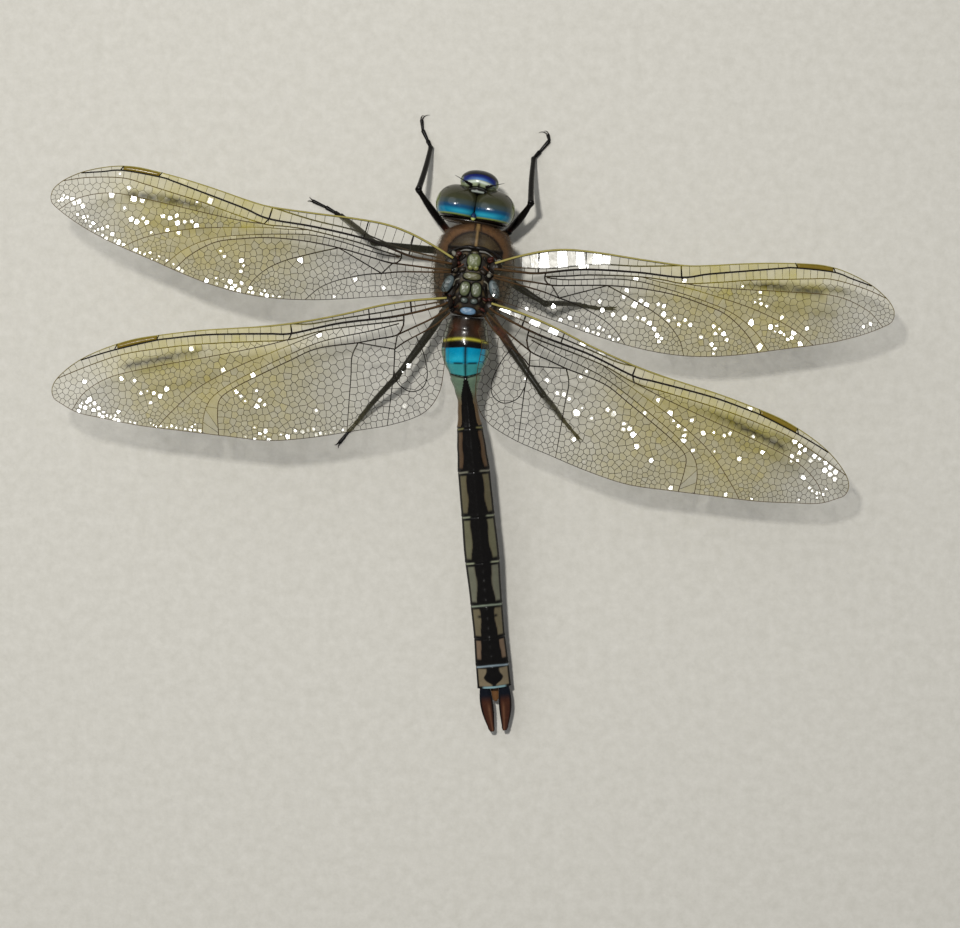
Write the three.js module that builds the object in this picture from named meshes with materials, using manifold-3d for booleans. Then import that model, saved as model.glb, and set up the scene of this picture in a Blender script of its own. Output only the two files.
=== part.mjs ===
// A male lesser emperor dragonfly at rest, wings spread, life size. Millimetres, +Z up, head towards -Y.
import * as THREE from "three";
import { mergeVertices } from "three/addons/utils/BufferGeometryUtils.js";
import Module from "manifold-3d";

const wasm = await Module();
wasm.setup();

// ---- Driving dimensions ----

const GAP = 0.3;
const SHEET = 0.5;
const SIDES = { left: 1, right: -1 };

// Turns about +Z in degrees: the thorax with its wings and legs, and the head's own turn on top of it.
const THORAX_YAW = -7;
const HEAD_YAW = -2.6;

const HEAD_AT = { out: 0.67, ahead: 8.45, up: 8.5 };

const WING_SPAN = 49.5;
const WING_HINGE_OUT = 2.6;
const FORE_HINGE = { ahead: 0.9, up: 12.95 };
const HIND_HINGE = { ahead: -4, up: 12.75 };

// Sweep is how far a wing's tip lies behind its root, and lift how far the tip is raised, in degrees.
const WING_SET = {
  forewing_left: { side: 1, hinge: FORE_HINGE, sweep: -2.3, lift: 2.6 },
  forewing_right: { side: -1, hinge: FORE_HINGE, sweep: -0.2, lift: -1.6 },
  hindwing_left: { side: 1, hinge: HIND_HINGE, sweep: 20.1, lift: 2.2 },
  hindwing_right: { side: -1, hinge: HIND_HINGE, sweep: 20.1, lift: -1.8 },
};

const ABDOMEN_START = { x: 0.57, y: 5.3, z: 8.6 };
const ABDOMEN_TURN = { from: 7, to: -5.4, over: 10 };
const ABDOMEN_DROP = 6;
const SEGMENT_ENDS = [0, 1.5, 7.3, 13.6, 19, 24.6, 30.4, 35.8, 40, 43.5, 46.4];

// Distance along the abdomen, half width, half height.
const ABDOMEN_GIRTH = [
  [0, 2.2, 2.1],
  [1.5, 2.65, 2.5],
  [3, 2.9, 2.75],
  [5.2, 2.73, 2.6],
  [7.4, 1.93, 2.1],
  [9, 1.45, 1.6],
  [10.3, 1.2, 1.4],
  [12, 1.35, 1.45],
  [14, 1.62, 1.6],
  [16.5, 1.82, 1.68],
  [19, 2, 1.7],
  [24, 2.06, 1.7],
  [29, 2.18, 1.68],
  [35.5, 2, 1.6],
  [39.4, 1.95, 1.5],
  [43.5, 2.07, 1.4],
  [46.4, 2.1, 1.1],
];

const CERCUS = { length: 5.9, half: 0.8, out: 1.3, tipOut: 0.8 };
const EPIPROCT = { length: 2.1, half: 0.6 };

// ---- Colours ----

const COLOURS = {
  brown: 0x785a3c,
  darkBrown: 0x46281e,
  green: 0x82874f,
  eye: 0x2f7f92,
  face: 0x34458f,
  blue: 0x1088ad,
  black: 0x16130f,
  wing: 0xa59664,
};

function finish(colour, roughness = 0.45) {
  return new THREE.MeshStandardMaterial({ color: COLOURS[colour], roughness, metalness: 0 });
}

// ---- Shape helpers ----

const radians = THREE.MathUtils.degToRad;

// A point of the thorax's own axes: out to the left, ahead to the head, up from the floor.
function bodyPoint(out, ahead, up) {
  return new THREE.Vector3(out, -ahead, up);
}

// A closed skin over rings of points, each ring with the same number, capped at its first and last ring.
function skinOver(rings) {
  const count = rings[0].length;
  const points = rings.flat();
  const faces = [];
  for (let i = 0; i < rings.length - 1; i++) {
    for (let j = 0; j < count; j++) {
      const a = i * count + j;
      const b = i * count + ((j + 1) % count);
      faces.push(a, b, a + count, b, b + count, a + count);
    }
  }
  const first = points.length;
  points.push(middle(rings[0]), middle(rings.at(-1)));
  const last = points.length - 1;
  const lastRing = (rings.length - 1) * count;
  for (let j = 0; j < count; j++) {
    const next = (j + 1) % count;
    faces.push(first, next, j);
    faces.push(last, lastRing + j, lastRing + next);
  }
  const geometry = new THREE.BufferGeometry().setFromPoints(points);
  geometry.setIndex(faces);
  return facingOut(geometry);
}

function middle(ring) {
  const sum = new THREE.Vector3();
  ring.forEach((p) => sum.add(p));
  return sum.divideScalar(ring.length);
}

function facingOut(geometry) {
  if (solid(geometry).volume() < 0) {
    const index = geometry.index.array;
    for (let i = 0; i < index.length; i += 3) {
      [index[i + 1], index[i + 2]] = [index[i + 2], index[i + 1]];
    }
  }
  geometry.computeVertexNormals();
  return geometry;
}

// A ring across a direction: half sizes to the side, upwards and downwards, squared off by power.
function ringAcross({ at, along, side, up, down = up, power = 2, count }) {
  const across = new THREE.Vector3(along.y, -along.x, 0).normalize();
  const above = new THREE.Vector3().crossVectors(across, along).normalize();
  const ring = [];
  for (let j = 0; j < count; j++) {
    const angle = (2 * Math.PI * j) / count;
    const c = Math.cos(angle);
    const s = Math.sin(angle);
    const x = side * Math.sign(c) * Math.abs(c) ** (2 / power);
    const y = (s > 0 ? up : down) * Math.sign(s) * Math.abs(s) ** (2 / power);
    ring.push(at.clone().addScaledVector(across, x).addScaledVector(above, y));
  }
  return ring;
}

// A value from a table of rows, each [distance, value, value...], smoothed between rows.
function fromTable(table, distance, column) {
  let i = 0;
  while (i < table.length - 2 && table[i + 1][0] < distance) i++;
  const t = THREE.MathUtils.clamp((distance - table[i][0]) / (table[i + 1][0] - table[i][0]), 0, 1);
  return THREE.MathUtils.lerp(table[i][column], table[i + 1][column], t * t * (3 - 2 * t));
}

function ellipsoid(centre, radii, around = 16, over = 10) {
  const geometry = new THREE.SphereGeometry(1, around, over);
  geometry.scale(radii.x, radii.y, radii.z);
  geometry.translate(centre.x, centre.y, centre.z);
  return geometry;
}

// ---- Solids ----

function solid(geometry) {
  const bare = new THREE.BufferGeometry().setAttribute("position", geometry.getAttribute("position"));
  if (geometry.index) bare.setIndex(geometry.index.clone());
  const merged = mergeVertices(bare, 1e-4);
  return new wasm.Manifold(
    new wasm.Mesh({
      numProp: 3,
      vertProperties: new Float32Array(merged.attributes.position.array),
      triVerts: new Uint32Array(merged.index.array),
    }),
  );
}

function geometryOf(body) {
  const mesh = body.getMesh();
  const geometry = new THREE.BufferGeometry();
  geometry.setAttribute("position", new THREE.BufferAttribute(mesh.vertProperties, 3));
  geometry.setIndex(new THREE.BufferAttribute(mesh.triVerts, 1));
  geometry.computeVertexNormals();
  return geometry;
}

// A solid's copy, larger all round by the gap that touching pieces keep.
function grown(body) {
  const { min, max } = body.boundingBox();
  const centre = min.map((low, i) => (low + max[i]) / 2);
  const scale = min.map((low, i) => 1 + (2 * GAP) / (max[i] - low));
  return body
    .translate(centre.map((c) => -c))
    .scale(scale)
    .translate(centre);
}

// ---- Head, in its own axes: +X left, -Y ahead, +Z up, origin at its centre ----

const EYE = { out: 2.35, ahead: -0.15, up: 0.1, wide: 2.6, long: 2.45, high: 3.45 };
const EYE_REAR = -1.9;
const EYE_FULLNESS = 3.2;
const FRONS = { ahead: 2.95, up: -0.5, wide: 2.4, long: 1.55, high: 2.2 };
const MOUTH = { ahead: 1.6, up: -3.25, wide: 2, long: 1.7, high: 1.1 };
const OCCIPUT = { ahead: -0.55, up: -0.3, wide: 2.3, long: 0.85, high: 2.7 };
const ANTENNA = { out: 0.85, ahead: 2.9, up: 2.1, length: 2.9, half: 0.27, spread: 50, raised: 40 };

// A rounded lump, its centre and half sizes given out, ahead and up.
function lump({ out = 0, ahead, up, wide, long, high }, around, over) {
  return ellipsoid(bodyPoint(out, ahead, up), new THREE.Vector3(wide, long, high), around, over);
}

// An eye is fuller towards the other eye than away from it, so that the two meet along a long seam.
function eyeWhole(side) {
  const geometry = lump({ ...EYE, out: side * EYE.out }, 22, 16);
  const centre = bodyPoint(side * EYE.out, EYE.ahead, EYE.up);
  const position = geometry.getAttribute("position");
  for (let i = 0; i < position.count; i++) {
    const inwards = (side * (centre.x - position.getX(i))) / EYE.wide;
    if (inwards > 0 && inwards < 0.999) {
      const full = (1 - inwards ** EYE_FULLNESS) ** (1 / EYE_FULLNESS);
      const growth = full / Math.sqrt(1 - inwards ** 2);
      position.setY(i, centre.y + (position.getY(i) - centre.y) * growth);
      position.setZ(i, centre.z + (position.getZ(i) - centre.z) * growth);
    }
  }
  return geometry;
}

function headSolids() {
  const occiput = solid(lump(OCCIPUT));
  const eyes = {};
  for (const [name, side] of Object.entries(SIDES)) {
    eyes[name] = solid(eyeWhole(side))
      .trimByPlane([side, 0, 0], GAP / 2)
      .trimByPlane([0, -1, 0], EYE_REAR)
      .subtract(grown(occiput));
  }
  const grownEyes = wasm.Manifold.union(Object.values(eyes).map(grown));
  const frons = solid(lump(FRONS, 18, 12)).subtract(grownEyes);
  const mouth = solid(lump(MOUTH)).subtract(grownEyes).subtract(grown(frons));
  return { occiput, eyes, frons, mouth };
}

function antenna(side) {
  const start = bodyPoint(side * ANTENNA.out, ANTENNA.ahead, ANTENNA.up);
  const flat = Math.cos(radians(ANTENNA.raised));
  const along = bodyPoint(
    side * Math.sin(radians(ANTENNA.spread)) * flat,
    Math.cos(radians(ANTENNA.spread)) * flat,
    Math.sin(radians(ANTENNA.raised)),
  );
  const rings = [0, 0.4, 1].map((t) =>
    ringAcross({
      at: start.clone().addScaledVector(along, t * ANTENNA.length),
      along,
      side: ANTENNA.half * (1 - 0.1 * t),
      up: ANTENNA.half * (1 - 0.1 * t),
      count: 6,
    }),
  );
  return skinOver(rings);
}

// ---- Thorax, in its own axes ----

// Ahead, half width, height of the top, height of the bottom.
const THORAX_RINGS = [
  [6.1, 1.4, 10.9, 8.9],
  [5.8, 2.6, 11.3, 8.1],
  [5.2, 3.7, 11.7, 7],
  [4.2, 4.3, 12, 5.7],
  [3, 4.65, 12.15, 4.9],
  [1, 4.85, 12.2, 4.5],
  [-1, 4.8, 12.2, 4.5],
  [-3, 4.4, 12.1, 4.9],
  [-4.3, 3.6, 11.8, 5.6],
  [-5, 2.4, 11.3, 6.4],
  [-5.25, 1.3, 10.6, 7.3],
];
const PROTHORAX = { ahead: 5.35, up: 6.2, wide: 2.3, long: 0.85, high: 1.5 };
const NECK = { ahead: 6.15, up: 7.3, wide: 0.8, long: 0.4, high: 0.9 };
const NOTUM = {
  mesonotum: { ahead: 0.6, up: 12.6, wide: 1.9, long: 2.7, high: 0.95 },
  metanotum: { ahead: -3.6, up: 12.3, wide: 1.7, long: 1.2, high: 0.85 },
};

function thoraxSolid() {
  const rings = THORAX_RINGS.map(([ahead, half, top, bottom]) => {
    const mid = (top + bottom) / 2;
    return ringAcross({
      at: bodyPoint(0, ahead, mid),
      along: new THREE.Vector3(0, 1, 0),
      side: half,
      up: top - mid,
      down: mid - bottom,
      power: 2.1,
      count: 20,
    });
  });
  return solid(skinOver(rings));
}

// ---- Abdomen, in the whole model's axes ----

function abdomenAngle(distance) {
  const t = Math.min(distance / ABDOMEN_TURN.over, 1);
  return radians(THREE.MathUtils.lerp(ABDOMEN_TURN.from, ABDOMEN_TURN.to, t));
}

function abdomenHeight(distance) {
  const share = Math.max(distance, 0) / SEGMENT_ENDS.at(-1);
  return ABDOMEN_START.z - ABDOMEN_DROP * share ** 1.15;
}

// The centre line's point and direction at a distance from the abdomen's front.
function abdomenAt(distance) {
  const step = 0.1;
  const at = new THREE.Vector3(ABDOMEN_START.x, ABDOMEN_START.y, 0);
  for (let d = 0; d < distance; d += step) {
    const slice = Math.min(step, distance - d);
    at.x += Math.sin(abdomenAngle(d)) * slice;
    at.y += Math.cos(abdomenAngle(d)) * slice;
  }
  at.z = abdomenHeight(distance);
  const along = new THREE.Vector3(
    Math.sin(abdomenAngle(distance)),
    Math.cos(abdomenAngle(distance)),
    (abdomenHeight(distance + step) - abdomenHeight(distance)) / step,
  );
  return { at, along: along.normalize() };
}

function abdomenSegment(number) {
  const from = SEGMENT_ENDS[number - 1] + GAP / 2;
  const to = SEGMENT_ENDS[number] - GAP / 2;
  const slices = Math.max(2, Math.round((to - from) / 1.2));
  const rings = [];
  for (let i = 0; i <= slices; i++) {
    const distance = THREE.MathUtils.lerp(from, to, i / slices);
    const side = fromTable(ABDOMEN_GIRTH, distance, 1);
    const up = fromTable(ABDOMEN_GIRTH, distance, 2);
    rings.push(ringAcross({ ...abdomenAt(distance), side, up, power: 2.1, count: 16 }));
  }
  return skinOver(rings);
}

// A flat leaf lying along the abdomen's end, from its base to its tip.
function leaf({ length, half, out, tipOut, up }) {
  const { at, along } = abdomenAt(SEGMENT_ENDS.at(-1) + GAP / 2);
  const across = new THREE.Vector3(along.y, -along.x, 0).normalize();
  const rings = [0, 0.15, 0.4, 0.65, 0.85, 1].map((t) =>
    ringAcross({
      at: at
        .clone()
        .addScaledVector(along, t * length)
        .addScaledVector(across, THREE.MathUtils.lerp(out, tipOut, t))
        .add(new THREE.Vector3(0, 0, up)),
      along,
      side: half * (0.55 + 0.45 * Math.sin(Math.PI * Math.min(1, 0.15 + t * 0.95))),
      up: SHEET / 2,
      count: 8,
    }),
  );
  return skinOver(rings);
}

// ---- Wings ----

// Points of each edge from root to tip: along the span, and behind the line from root to tip.
const WING_EDGES = {
  forewing: {
    lead: [
      [0, -0.5], [3, -1.75], [6, -2.72], [9, -3.22], [13, -3.25], [18, -3.06], [23, -2.98], [26, -3.33],
      [30, -4.02], [34, -4.6], [38, -4.99], [40.5, -5.03], [43, -4.6], [46, -3.5], [48.2, -2.1], [49.5, 0.1],
    ],
    trail: [
      [0, 3.7], [3, 4.4], [6, 5.12], [9, 5.81], [12, 6.54], [16, 7.35], [20, 7.88], [24, 8.02],
      [28, 7.65], [32, 6.85], [36, 5.82], [40, 4.82], [43, 3.93], [46, 2.75], [48.3, 1.55], [49.5, 0.1],
    ],
  },
  hindwing: {
    lead: [
      [0, -0.5], [4, -1.12], [8, -1.4], [13, -1.38], [18, -1.61], [22, -2.02], [26, -2.67], [30, -3.33],
      [34, -3.8], [38, -4.12], [41, -3.97], [44, -3.5], [46.4, -2.75], [48.5, -1.6], [49.5, 0.15],
    ],
    trail: [
      [0, 3.2], [1.3, 4.7], [2.2, 7.6], [3.6, 10.7], [6, 12.6], [10, 13.1], [15, 12.8], [20, 12.42],
      [25, 11.63], [30, 9.92], [35, 8.1], [40, 6.26], [44, 4.45], [47, 3], [48.9, 1.3], [49.5, 0.15],
    ],
  },
};
const RIBS = 30;
const LAST_RIB = 0.996;
const CHORD_STEPS = 3;
const WING_BOW = 0.5;

function edgeCurve(points) {
  return new THREE.CatmullRomCurve3(points.map(([along, behind]) => new THREE.Vector3(along, behind, 0)));
}

// A wing's mid-surface point, in the thorax's axes, from its place along and behind the root-to-tip line.
function wingPoint({ side, hinge, sweep, lift }, along, behind, offset) {
  const angle = radians(sweep);
  const out = along * Math.cos(angle) - behind * Math.sin(angle);
  const back = along * Math.sin(angle) + behind * Math.cos(angle);
  const bow = WING_BOW * Math.sin((Math.PI * along) / WING_SPAN);
  const up = hinge.up + Math.sin(radians(lift)) * along + bow + offset;
  return bodyPoint(side * (WING_HINGE_OUT + out), hinge.ahead - back, up);
}

function wing(name) {
  const set = WING_SET[name];
  const edges = WING_EDGES[name.split("_")[0]];
  const lead = edgeCurve(edges.lead);
  const trail = edgeCurve(edges.trail);
  const rings = [];
  for (let i = 0; i <= RIBS; i++) {
    const t = LAST_RIB * (1 - (1 - i / RIBS) ** 1.4);
    const front = lead.getPointAt(t);
    const back = trail.getPointAt(t);
    const upper = [];
    const lower = [];
    for (let j = 0; j <= CHORD_STEPS; j++) {
      const p = front.clone().lerp(back, j / CHORD_STEPS);
      upper.push(wingPoint(set, p.x, p.y, SHEET / 2));
      lower.unshift(wingPoint(set, p.x, p.y, -SHEET / 2));
    }
    rings.push([...upper, ...lower]);
  }
  return skinOver(rings);
}

// ---- Legs ----

// Root under the thorax, hip, knee, ankle and toe tips: out to the leg's own side, ahead, up.
const LEGS = {
  fore_left: {
    root: [1.2, 5, 4.1],
    hip: [3.4, 4.9, 4],
    knee: [8, 9.7, 7.2],
    ankle: [7.3, 15.8, 0.7],
    toes: [[8.6, 17.9], [8.9, 19.2]],
  },
  fore_right: {
    root: [1.2, 5, 4.1],
    hip: [3.7, 6, 4.1],
    knee: [6.1, 9.7, 7.2],
    ankle: [5.8, 16, 0.7],
    toes: [[7.5, 18.5], [7.2, 19.3]],
  },
  mid_left: {
    root: [1.1, 2.6, 3.9],
    hip: [2.7, 2.8, 3.6],
    knee: [12.7, 2.5, 7],
    ankle: [17.5, 5.8, 0.7],
    toes: [[19.6, 6.7], [21.4, 7.3]],
  },
  mid_right: {
    root: [1.1, 2.2, 3.9],
    hip: [2.7, 1.1, 3.6],
    knee: [9.4, -2.4, 6.5],
    ankle: [13.9, -1.7, 0.7],
    toes: [[16.1, -1.8], [18.1, -1.6]],
  },
  hind_left: {
    root: [0.9, -1, 3.9],
    hip: [2.1, -3, 3.6],
    knee: [8, -13.9, 6.5],
    ankle: [12, -19.3, 0.7],
    toes: [[13.3, -21.2], [14.3, -22.8]],
  },
  hind_right: {
    root: [0.9, -1.2, 3.9],
    hip: [2, -3.6, 3.6],
    knee: [10.5, -13.7, 6.5],
    ankle: [13.2, -16.1, 0.7],
    toes: [[14.6, -17.4], [15.8, -18.5]],
  },
};
const FEMUR = { fore: [0.5, 0.42, 0.34], mid: [0.5, 0.42, 0.34], hind: [0.55, 0.5, 0.38] };
const TIBIA = [0.33, 0.29, 0.27];
const TARSUS_HALF = 0.27;
const TARSUS_UP = 0.2;
const COXA = [0.6, 0.6, 0.5];

function limb(points, halves, count = 8) {
  const rings = points.map((at, i) => {
    const along = points[Math.min(i + 1, points.length - 1)].clone();
    along.sub(points[Math.max(i - 1, 0)]).normalize();
    return ringAcross({ at, along, side: halves[i], up: halves[i], count });
  });
  return skinOver(rings);
}

function between(a, b, shares) {
  return shares.map((t) => a.clone().lerp(b, t));
}

function shortened(a, b, atStart, atEnd) {
  const length = a.distanceTo(b);
  return between(a, b, [atStart / length, 0.5, 1 - atEnd / length]);
}

// A foot lies on the floor: its rings are cut flat at the floor's level.
function tarsus(ankle, toes) {
  const floorLine = [ankle, ...toes].map((p) => p.clone().setZ(TARSUS_UP));
  const start = floorLine[0].clone().lerp(floorLine[1], 0.12);
  const points = [start, floorLine[0].clone().lerp(floorLine[1], 0.55), ...floorLine.slice(1)];
  const rings = points.map((at, i) => {
    const along = points[Math.min(i + 1, points.length - 1)].clone();
    along.sub(points[Math.max(i - 1, 0)]).normalize();
    const ring = ringAcross({ at, along, side: TARSUS_HALF, up: TARSUS_HALF + 0.05, count: 8 });
    return ring.map((p) => p.setZ(Math.max(p.z, 0)));
  });
  return skinOver(rings);
}

function legPieces(name, { root, hip, knee, ankle, toes }) {
  const [pair, sideName] = name.split("_");
  const side = SIDES[sideName];
  const place = ([out, ahead, up = 0]) => bodyPoint(side * out, ahead, up);
  const hipPoint = place(hip);
  const kneePoint = place(knee);
  const anklePoint = place(ankle);
  return {
    coxa: limb(shortened(place(root), hipPoint, 0, 0), COXA),
    femur: limb(shortened(hipPoint, kneePoint, COXA[2] + GAP, 0.1), FEMUR[pair]),
    tibia: limb(shortened(kneePoint, anklePoint, FEMUR[pair][2] + GAP, 0.12), TIBIA),
    tarsus: tarsus(anklePoint, toes.map(place)),
  };
}

// ---- Assembly ----

const dragonfly = new THREE.Group();
const thoraxFrame = new THREE.Group();
const headFrame = new THREE.Group();
dragonfly.add(thoraxFrame);
thoraxFrame.add(headFrame);
thoraxFrame.rotation.z = radians(THORAX_YAW);
headFrame.rotation.z = radians(HEAD_YAW);
headFrame.position.copy(bodyPoint(HEAD_AT.out, HEAD_AT.ahead, HEAD_AT.up));

function add(parent, name, geometry, material) {
  const mesh = new THREE.Mesh(geometry, material);
  mesh.name = name;
  parent.add(mesh);
}

const head = headSolids();
add(headFrame, "head", geometryOf(head.occiput), finish("darkBrown"));
add(headFrame, "frons", geometryOf(head.frons), finish("face", 0.25));
add(headFrame, "mouthparts", geometryOf(head.mouth), finish("green"));
for (const [name, side] of Object.entries(SIDES)) {
  add(headFrame, `eye_${name}`, geometryOf(head.eyes[name]), finish("eye", 0.2));
  add(headFrame, `antenna_${name}`, antenna(side), finish("black"));
}

const thorax = thoraxSolid();
const prothorax = solid(lump(PROTHORAX, 14, 8)).subtract(grown(thorax));
const neck = solid(lump(NECK, 12, 8)).subtract(grown(prothorax)).subtract(grown(thorax));
add(thoraxFrame, "thorax", geometryOf(thorax), finish("brown"));
add(thoraxFrame, "prothorax", geometryOf(prothorax), finish("brown"));
add(thoraxFrame, "neck", geometryOf(neck), finish("brown"));
for (const [name, plate] of Object.entries(NOTUM)) {
  add(thoraxFrame, name, geometryOf(solid(lump(plate, 16, 10)).subtract(grown(thorax))), finish("green"));
}

for (let number = 1; number < SEGMENT_ENDS.length; number++) {
  const colour = number === 2 ? "blue" : "black";
  add(dragonfly, `abdomen_s${number}`, abdomenSegment(number), finish(colour, 0.35));
}
for (const [name, side] of Object.entries(SIDES)) {
  const shape = leaf({ ...CERCUS, out: side * CERCUS.out, tipOut: side * CERCUS.tipOut, up: 0.25 });
  add(dragonfly, `cercus_${name}`, shape, finish("darkBrown"));
}
add(dragonfly, "epiproct", leaf({ ...EPIPROCT, out: 0, tipOut: 0, up: -0.6 }), finish("darkBrown"));

for (const name of Object.keys(WING_SET)) {
  add(thoraxFrame, name, wing(name), finish("wing", 0.3));
}

for (const [name, joints] of Object.entries(LEGS)) {
  for (const [piece, geometry] of Object.entries(legPieces(name, joints))) {
    add(thoraxFrame, `${piece}_${name}`, geometry, finish("black", 0.3));
  }
}

// The origin is under the middle of the whole, on the floor.
const box = new THREE.Box3().setFromObject(dragonfly, true);
const centre = box.getCenter(new THREE.Vector3());
dragonfly.position.set(-centre.x, -centre.y, -box.min.z);

export default dragonfly;
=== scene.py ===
import math
import bpy
import bmesh
import numpy as np
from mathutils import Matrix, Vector


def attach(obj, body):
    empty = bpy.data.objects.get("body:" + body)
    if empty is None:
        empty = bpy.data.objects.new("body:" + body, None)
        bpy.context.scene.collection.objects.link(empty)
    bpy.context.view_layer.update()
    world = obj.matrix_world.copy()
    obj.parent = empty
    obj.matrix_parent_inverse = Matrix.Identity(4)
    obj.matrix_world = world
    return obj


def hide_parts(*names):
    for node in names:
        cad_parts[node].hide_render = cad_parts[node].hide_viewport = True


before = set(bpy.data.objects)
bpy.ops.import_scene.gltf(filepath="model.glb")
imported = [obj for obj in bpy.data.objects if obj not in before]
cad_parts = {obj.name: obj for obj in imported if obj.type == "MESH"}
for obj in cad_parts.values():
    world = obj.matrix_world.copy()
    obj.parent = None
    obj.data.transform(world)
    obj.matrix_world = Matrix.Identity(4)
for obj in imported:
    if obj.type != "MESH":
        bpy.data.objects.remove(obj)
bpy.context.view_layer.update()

rng = np.random.default_rng(7)

# All sizes below are millimetres in the model's own axes, +Z up, head towards -Y. Angles are degrees,
# colours are 0-255 display values.
MM = 0.001
SIDES = {"left": 1, "right": -1}
THORAX_YAW = -7
HEAD_YAW = -2.6
THORAX_ORIGIN = np.array([0.25686, -18.71888, 0])
HEAD_AT = np.array([0.67, -8.45, 8.5])
# Cross-sections of thorax and abdomen: 2 would be an ellipse, more is squarer.
BODY_SQUARE = 2.1


# ---- Small helpers ----

def arr(values):
    return np.asarray(values, dtype=float)


def unit(vectors):
    return vectors / np.linalg.norm(vectors, axis=-1, keepdims=True)


def turn_z(points, degrees):
    a = math.radians(degrees)
    c, s = math.cos(a), math.sin(a)
    p = np.atleast_2d(arr(points))
    return np.stack([p[:, 0] * c - p[:, 1] * s, p[:, 0] * s + p[:, 1] * c, p[:, 2]], axis=1)


def body(out, ahead, up):
    """Out to the left, ahead to the head, up from the floor."""
    return np.stack(np.broadcast_arrays(arr(out), -arr(ahead), arr(up)), axis=-1)


def seated(p, at):
    """A lump's points round its own centre, set at a place given as out, ahead and up."""
    return body(p[:, 0] + at[0], at[1] - p[:, 1], p[:, 2] + at[2])


def thorax_to_model(points):
    return turn_z(points, THORAX_YAW) + THORAX_ORIGIN


def head_to_model(points):
    return thorax_to_model(turn_z(points, HEAD_YAW) + HEAD_AT)


def smooth(low, high, x):
    t = np.clip((arr(x) - low) / (high - low), 0, 1)
    return t * t * (3 - 2 * t)


def bump(x, width):
    return np.exp(-((arr(x) / width) ** 2))


def squarish(x, power=BODY_SQUARE):
    """A sine or cosine pushed outwards, so that a round section turns squarer."""
    return np.sign(x) * np.abs(x) ** (2 / power)


def turns(count):
    """Evenly spaced angles round a ring."""
    return 2 * np.pi * np.arange(count) / count


def linear(rgb):
    """A colour given as 0-255 display values, as linear light."""
    c = arr(rgb) / 255
    return np.where(c <= 0.04045, c / 12.92, ((c + 0.055) / 1.055) ** 2.4)


def blend(base, over, share):
    share = np.clip(arr(share), 0, 1)[..., None]
    return base * (1 - share) + linear(over) * share


def layered(base, like, layers):
    """A colour for each entry of like: the base, then every tone laid over it with its share."""
    colour = np.broadcast_to(linear(base), np.shape(like) + (3,))
    for tone, share in layers:
        colour = blend(colour, tone, share)
    return colour


def catmull(points, step=0.4):
    """A smooth curve through the points, with a place about every step."""
    p = arr(points)
    p = np.vstack([2 * p[0] - p[1], p, 2 * p[-1] - p[-2]])
    out = []
    for a, b, c, d in zip(p, p[1:], p[2:], p[3:]):
        n = max(2, int(math.ceil(np.linalg.norm(c - b) / step)))
        t = np.arange(n)[:, None] / n
        out.append(0.5 * (2 * b + (c - a) * t + (2 * a - 5 * b + 4 * c - d) * t ** 2
                          + (3 * b - a - 3 * c + d) * t ** 3))
    out.append(p[-2][None])
    return np.vstack(out)


def piece(name, points, faces, material, replaces=(), paint=(0, 0, 0)):
    """A mesh object from millimetre points, with one colour or a colour for each point."""
    mesh = bpy.data.meshes.new(name)
    mesh.from_pydata((arr(points) * MM).tolist(), [], [list(map(int, f)) for f in faces])
    mesh.validate()
    mesh.polygons.foreach_set("use_smooth", [True] * len(mesh.polygons))
    paint = np.broadcast_to(arr(paint), (len(points), np.shape(paint)[-1]))
    if paint.shape[1] == 3:
        paint = np.hstack([paint, np.ones((len(paint), 1))])
    colour = mesh.color_attributes.new("paint", "FLOAT_COLOR", "POINT")
    colour.data.foreach_set("color", paint.astype(np.float32).ravel())
    mesh.materials.append(material)
    obj = bpy.data.objects.new(name, mesh)
    bpy.context.collection.objects.link(obj)
    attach(obj, "root")
    if replaces:
        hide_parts(*replaces)
    return obj


def outward(obj):
    """Turns the faces of a closed mesh outwards."""
    bm = bmesh.new()
    bm.from_mesh(obj.data)
    bmesh.ops.recalc_face_normals(bm, faces=bm.faces)
    bm.to_mesh(obj.data)
    bm.free()


class Build:
    """Collects points, faces and point colours of one joined mesh."""

    def __init__(self):
        self.points = []
        self.faces = []
        self.paint = []
        self.count = 0

    def add(self, points, faces, colour):
        points = np.atleast_2d(arr(points))
        self.points.append(points)
        self.faces.extend([tuple(i + self.count for i in f) for f in faces])
        self.paint.append(np.broadcast_to(colour, (len(points), np.shape(colour)[-1])))
        self.count += len(points)

    def piece(self, name, material, slot, replaces=()):
        return piece(name, np.vstack(self.points), self.faces, material, replaces,
                     np.vstack(self.paint))


def ring_faces(rings, sides, ends="flat"):
    """Faces of a row of rings. Its ends are open, flat, or fans round two points added last."""
    faces = []
    for i in range(rings - 1):
        for j in range(sides):
            a = i * sides + j
            b = i * sides + (j + 1) % sides
            faces.append((a, b, b + sides, a + sides))
    last = (rings - 1) * sides
    if ends == "flat":
        faces += [tuple(reversed(range(sides))), tuple(range(last, last + sides))]
    if ends == "fan":
        tip = rings * sides
        for j in range(sides):
            k = (j + 1) % sides
            faces += [(tip, k, j), (tip + 1, last + j, last + k)]
    return faces


def tube(centres, radii, sides=6, flat=1.0, ends="flat"):
    """Points and faces of a tube along centres; flat is its height over its width."""
    c = arr(centres)
    r = np.broadcast_to(arr(radii), (len(c),))
    ahead = np.gradient(c, axis=0)
    ahead /= np.linalg.norm(ahead, axis=1)[:, None] + 1e-12
    side = np.cross(ahead, [0.0, 0.0, 1.0])
    upright = np.linalg.norm(side, axis=1) < 1e-3
    side[upright] = np.cross(ahead[upright], [0.0, 1.0, 0.0])
    side = unit(side)
    above = np.cross(side, ahead)
    angle = turns(sides)[None, :, None]
    ring = np.cos(angle) * side[:, None, :] + flat * np.sin(angle) * above[:, None, :]
    points = (c[:, None, :] + ring * r[:, None, None]).reshape(-1, 3)
    return points, ring_faces(len(c), sides, ends)


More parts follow.
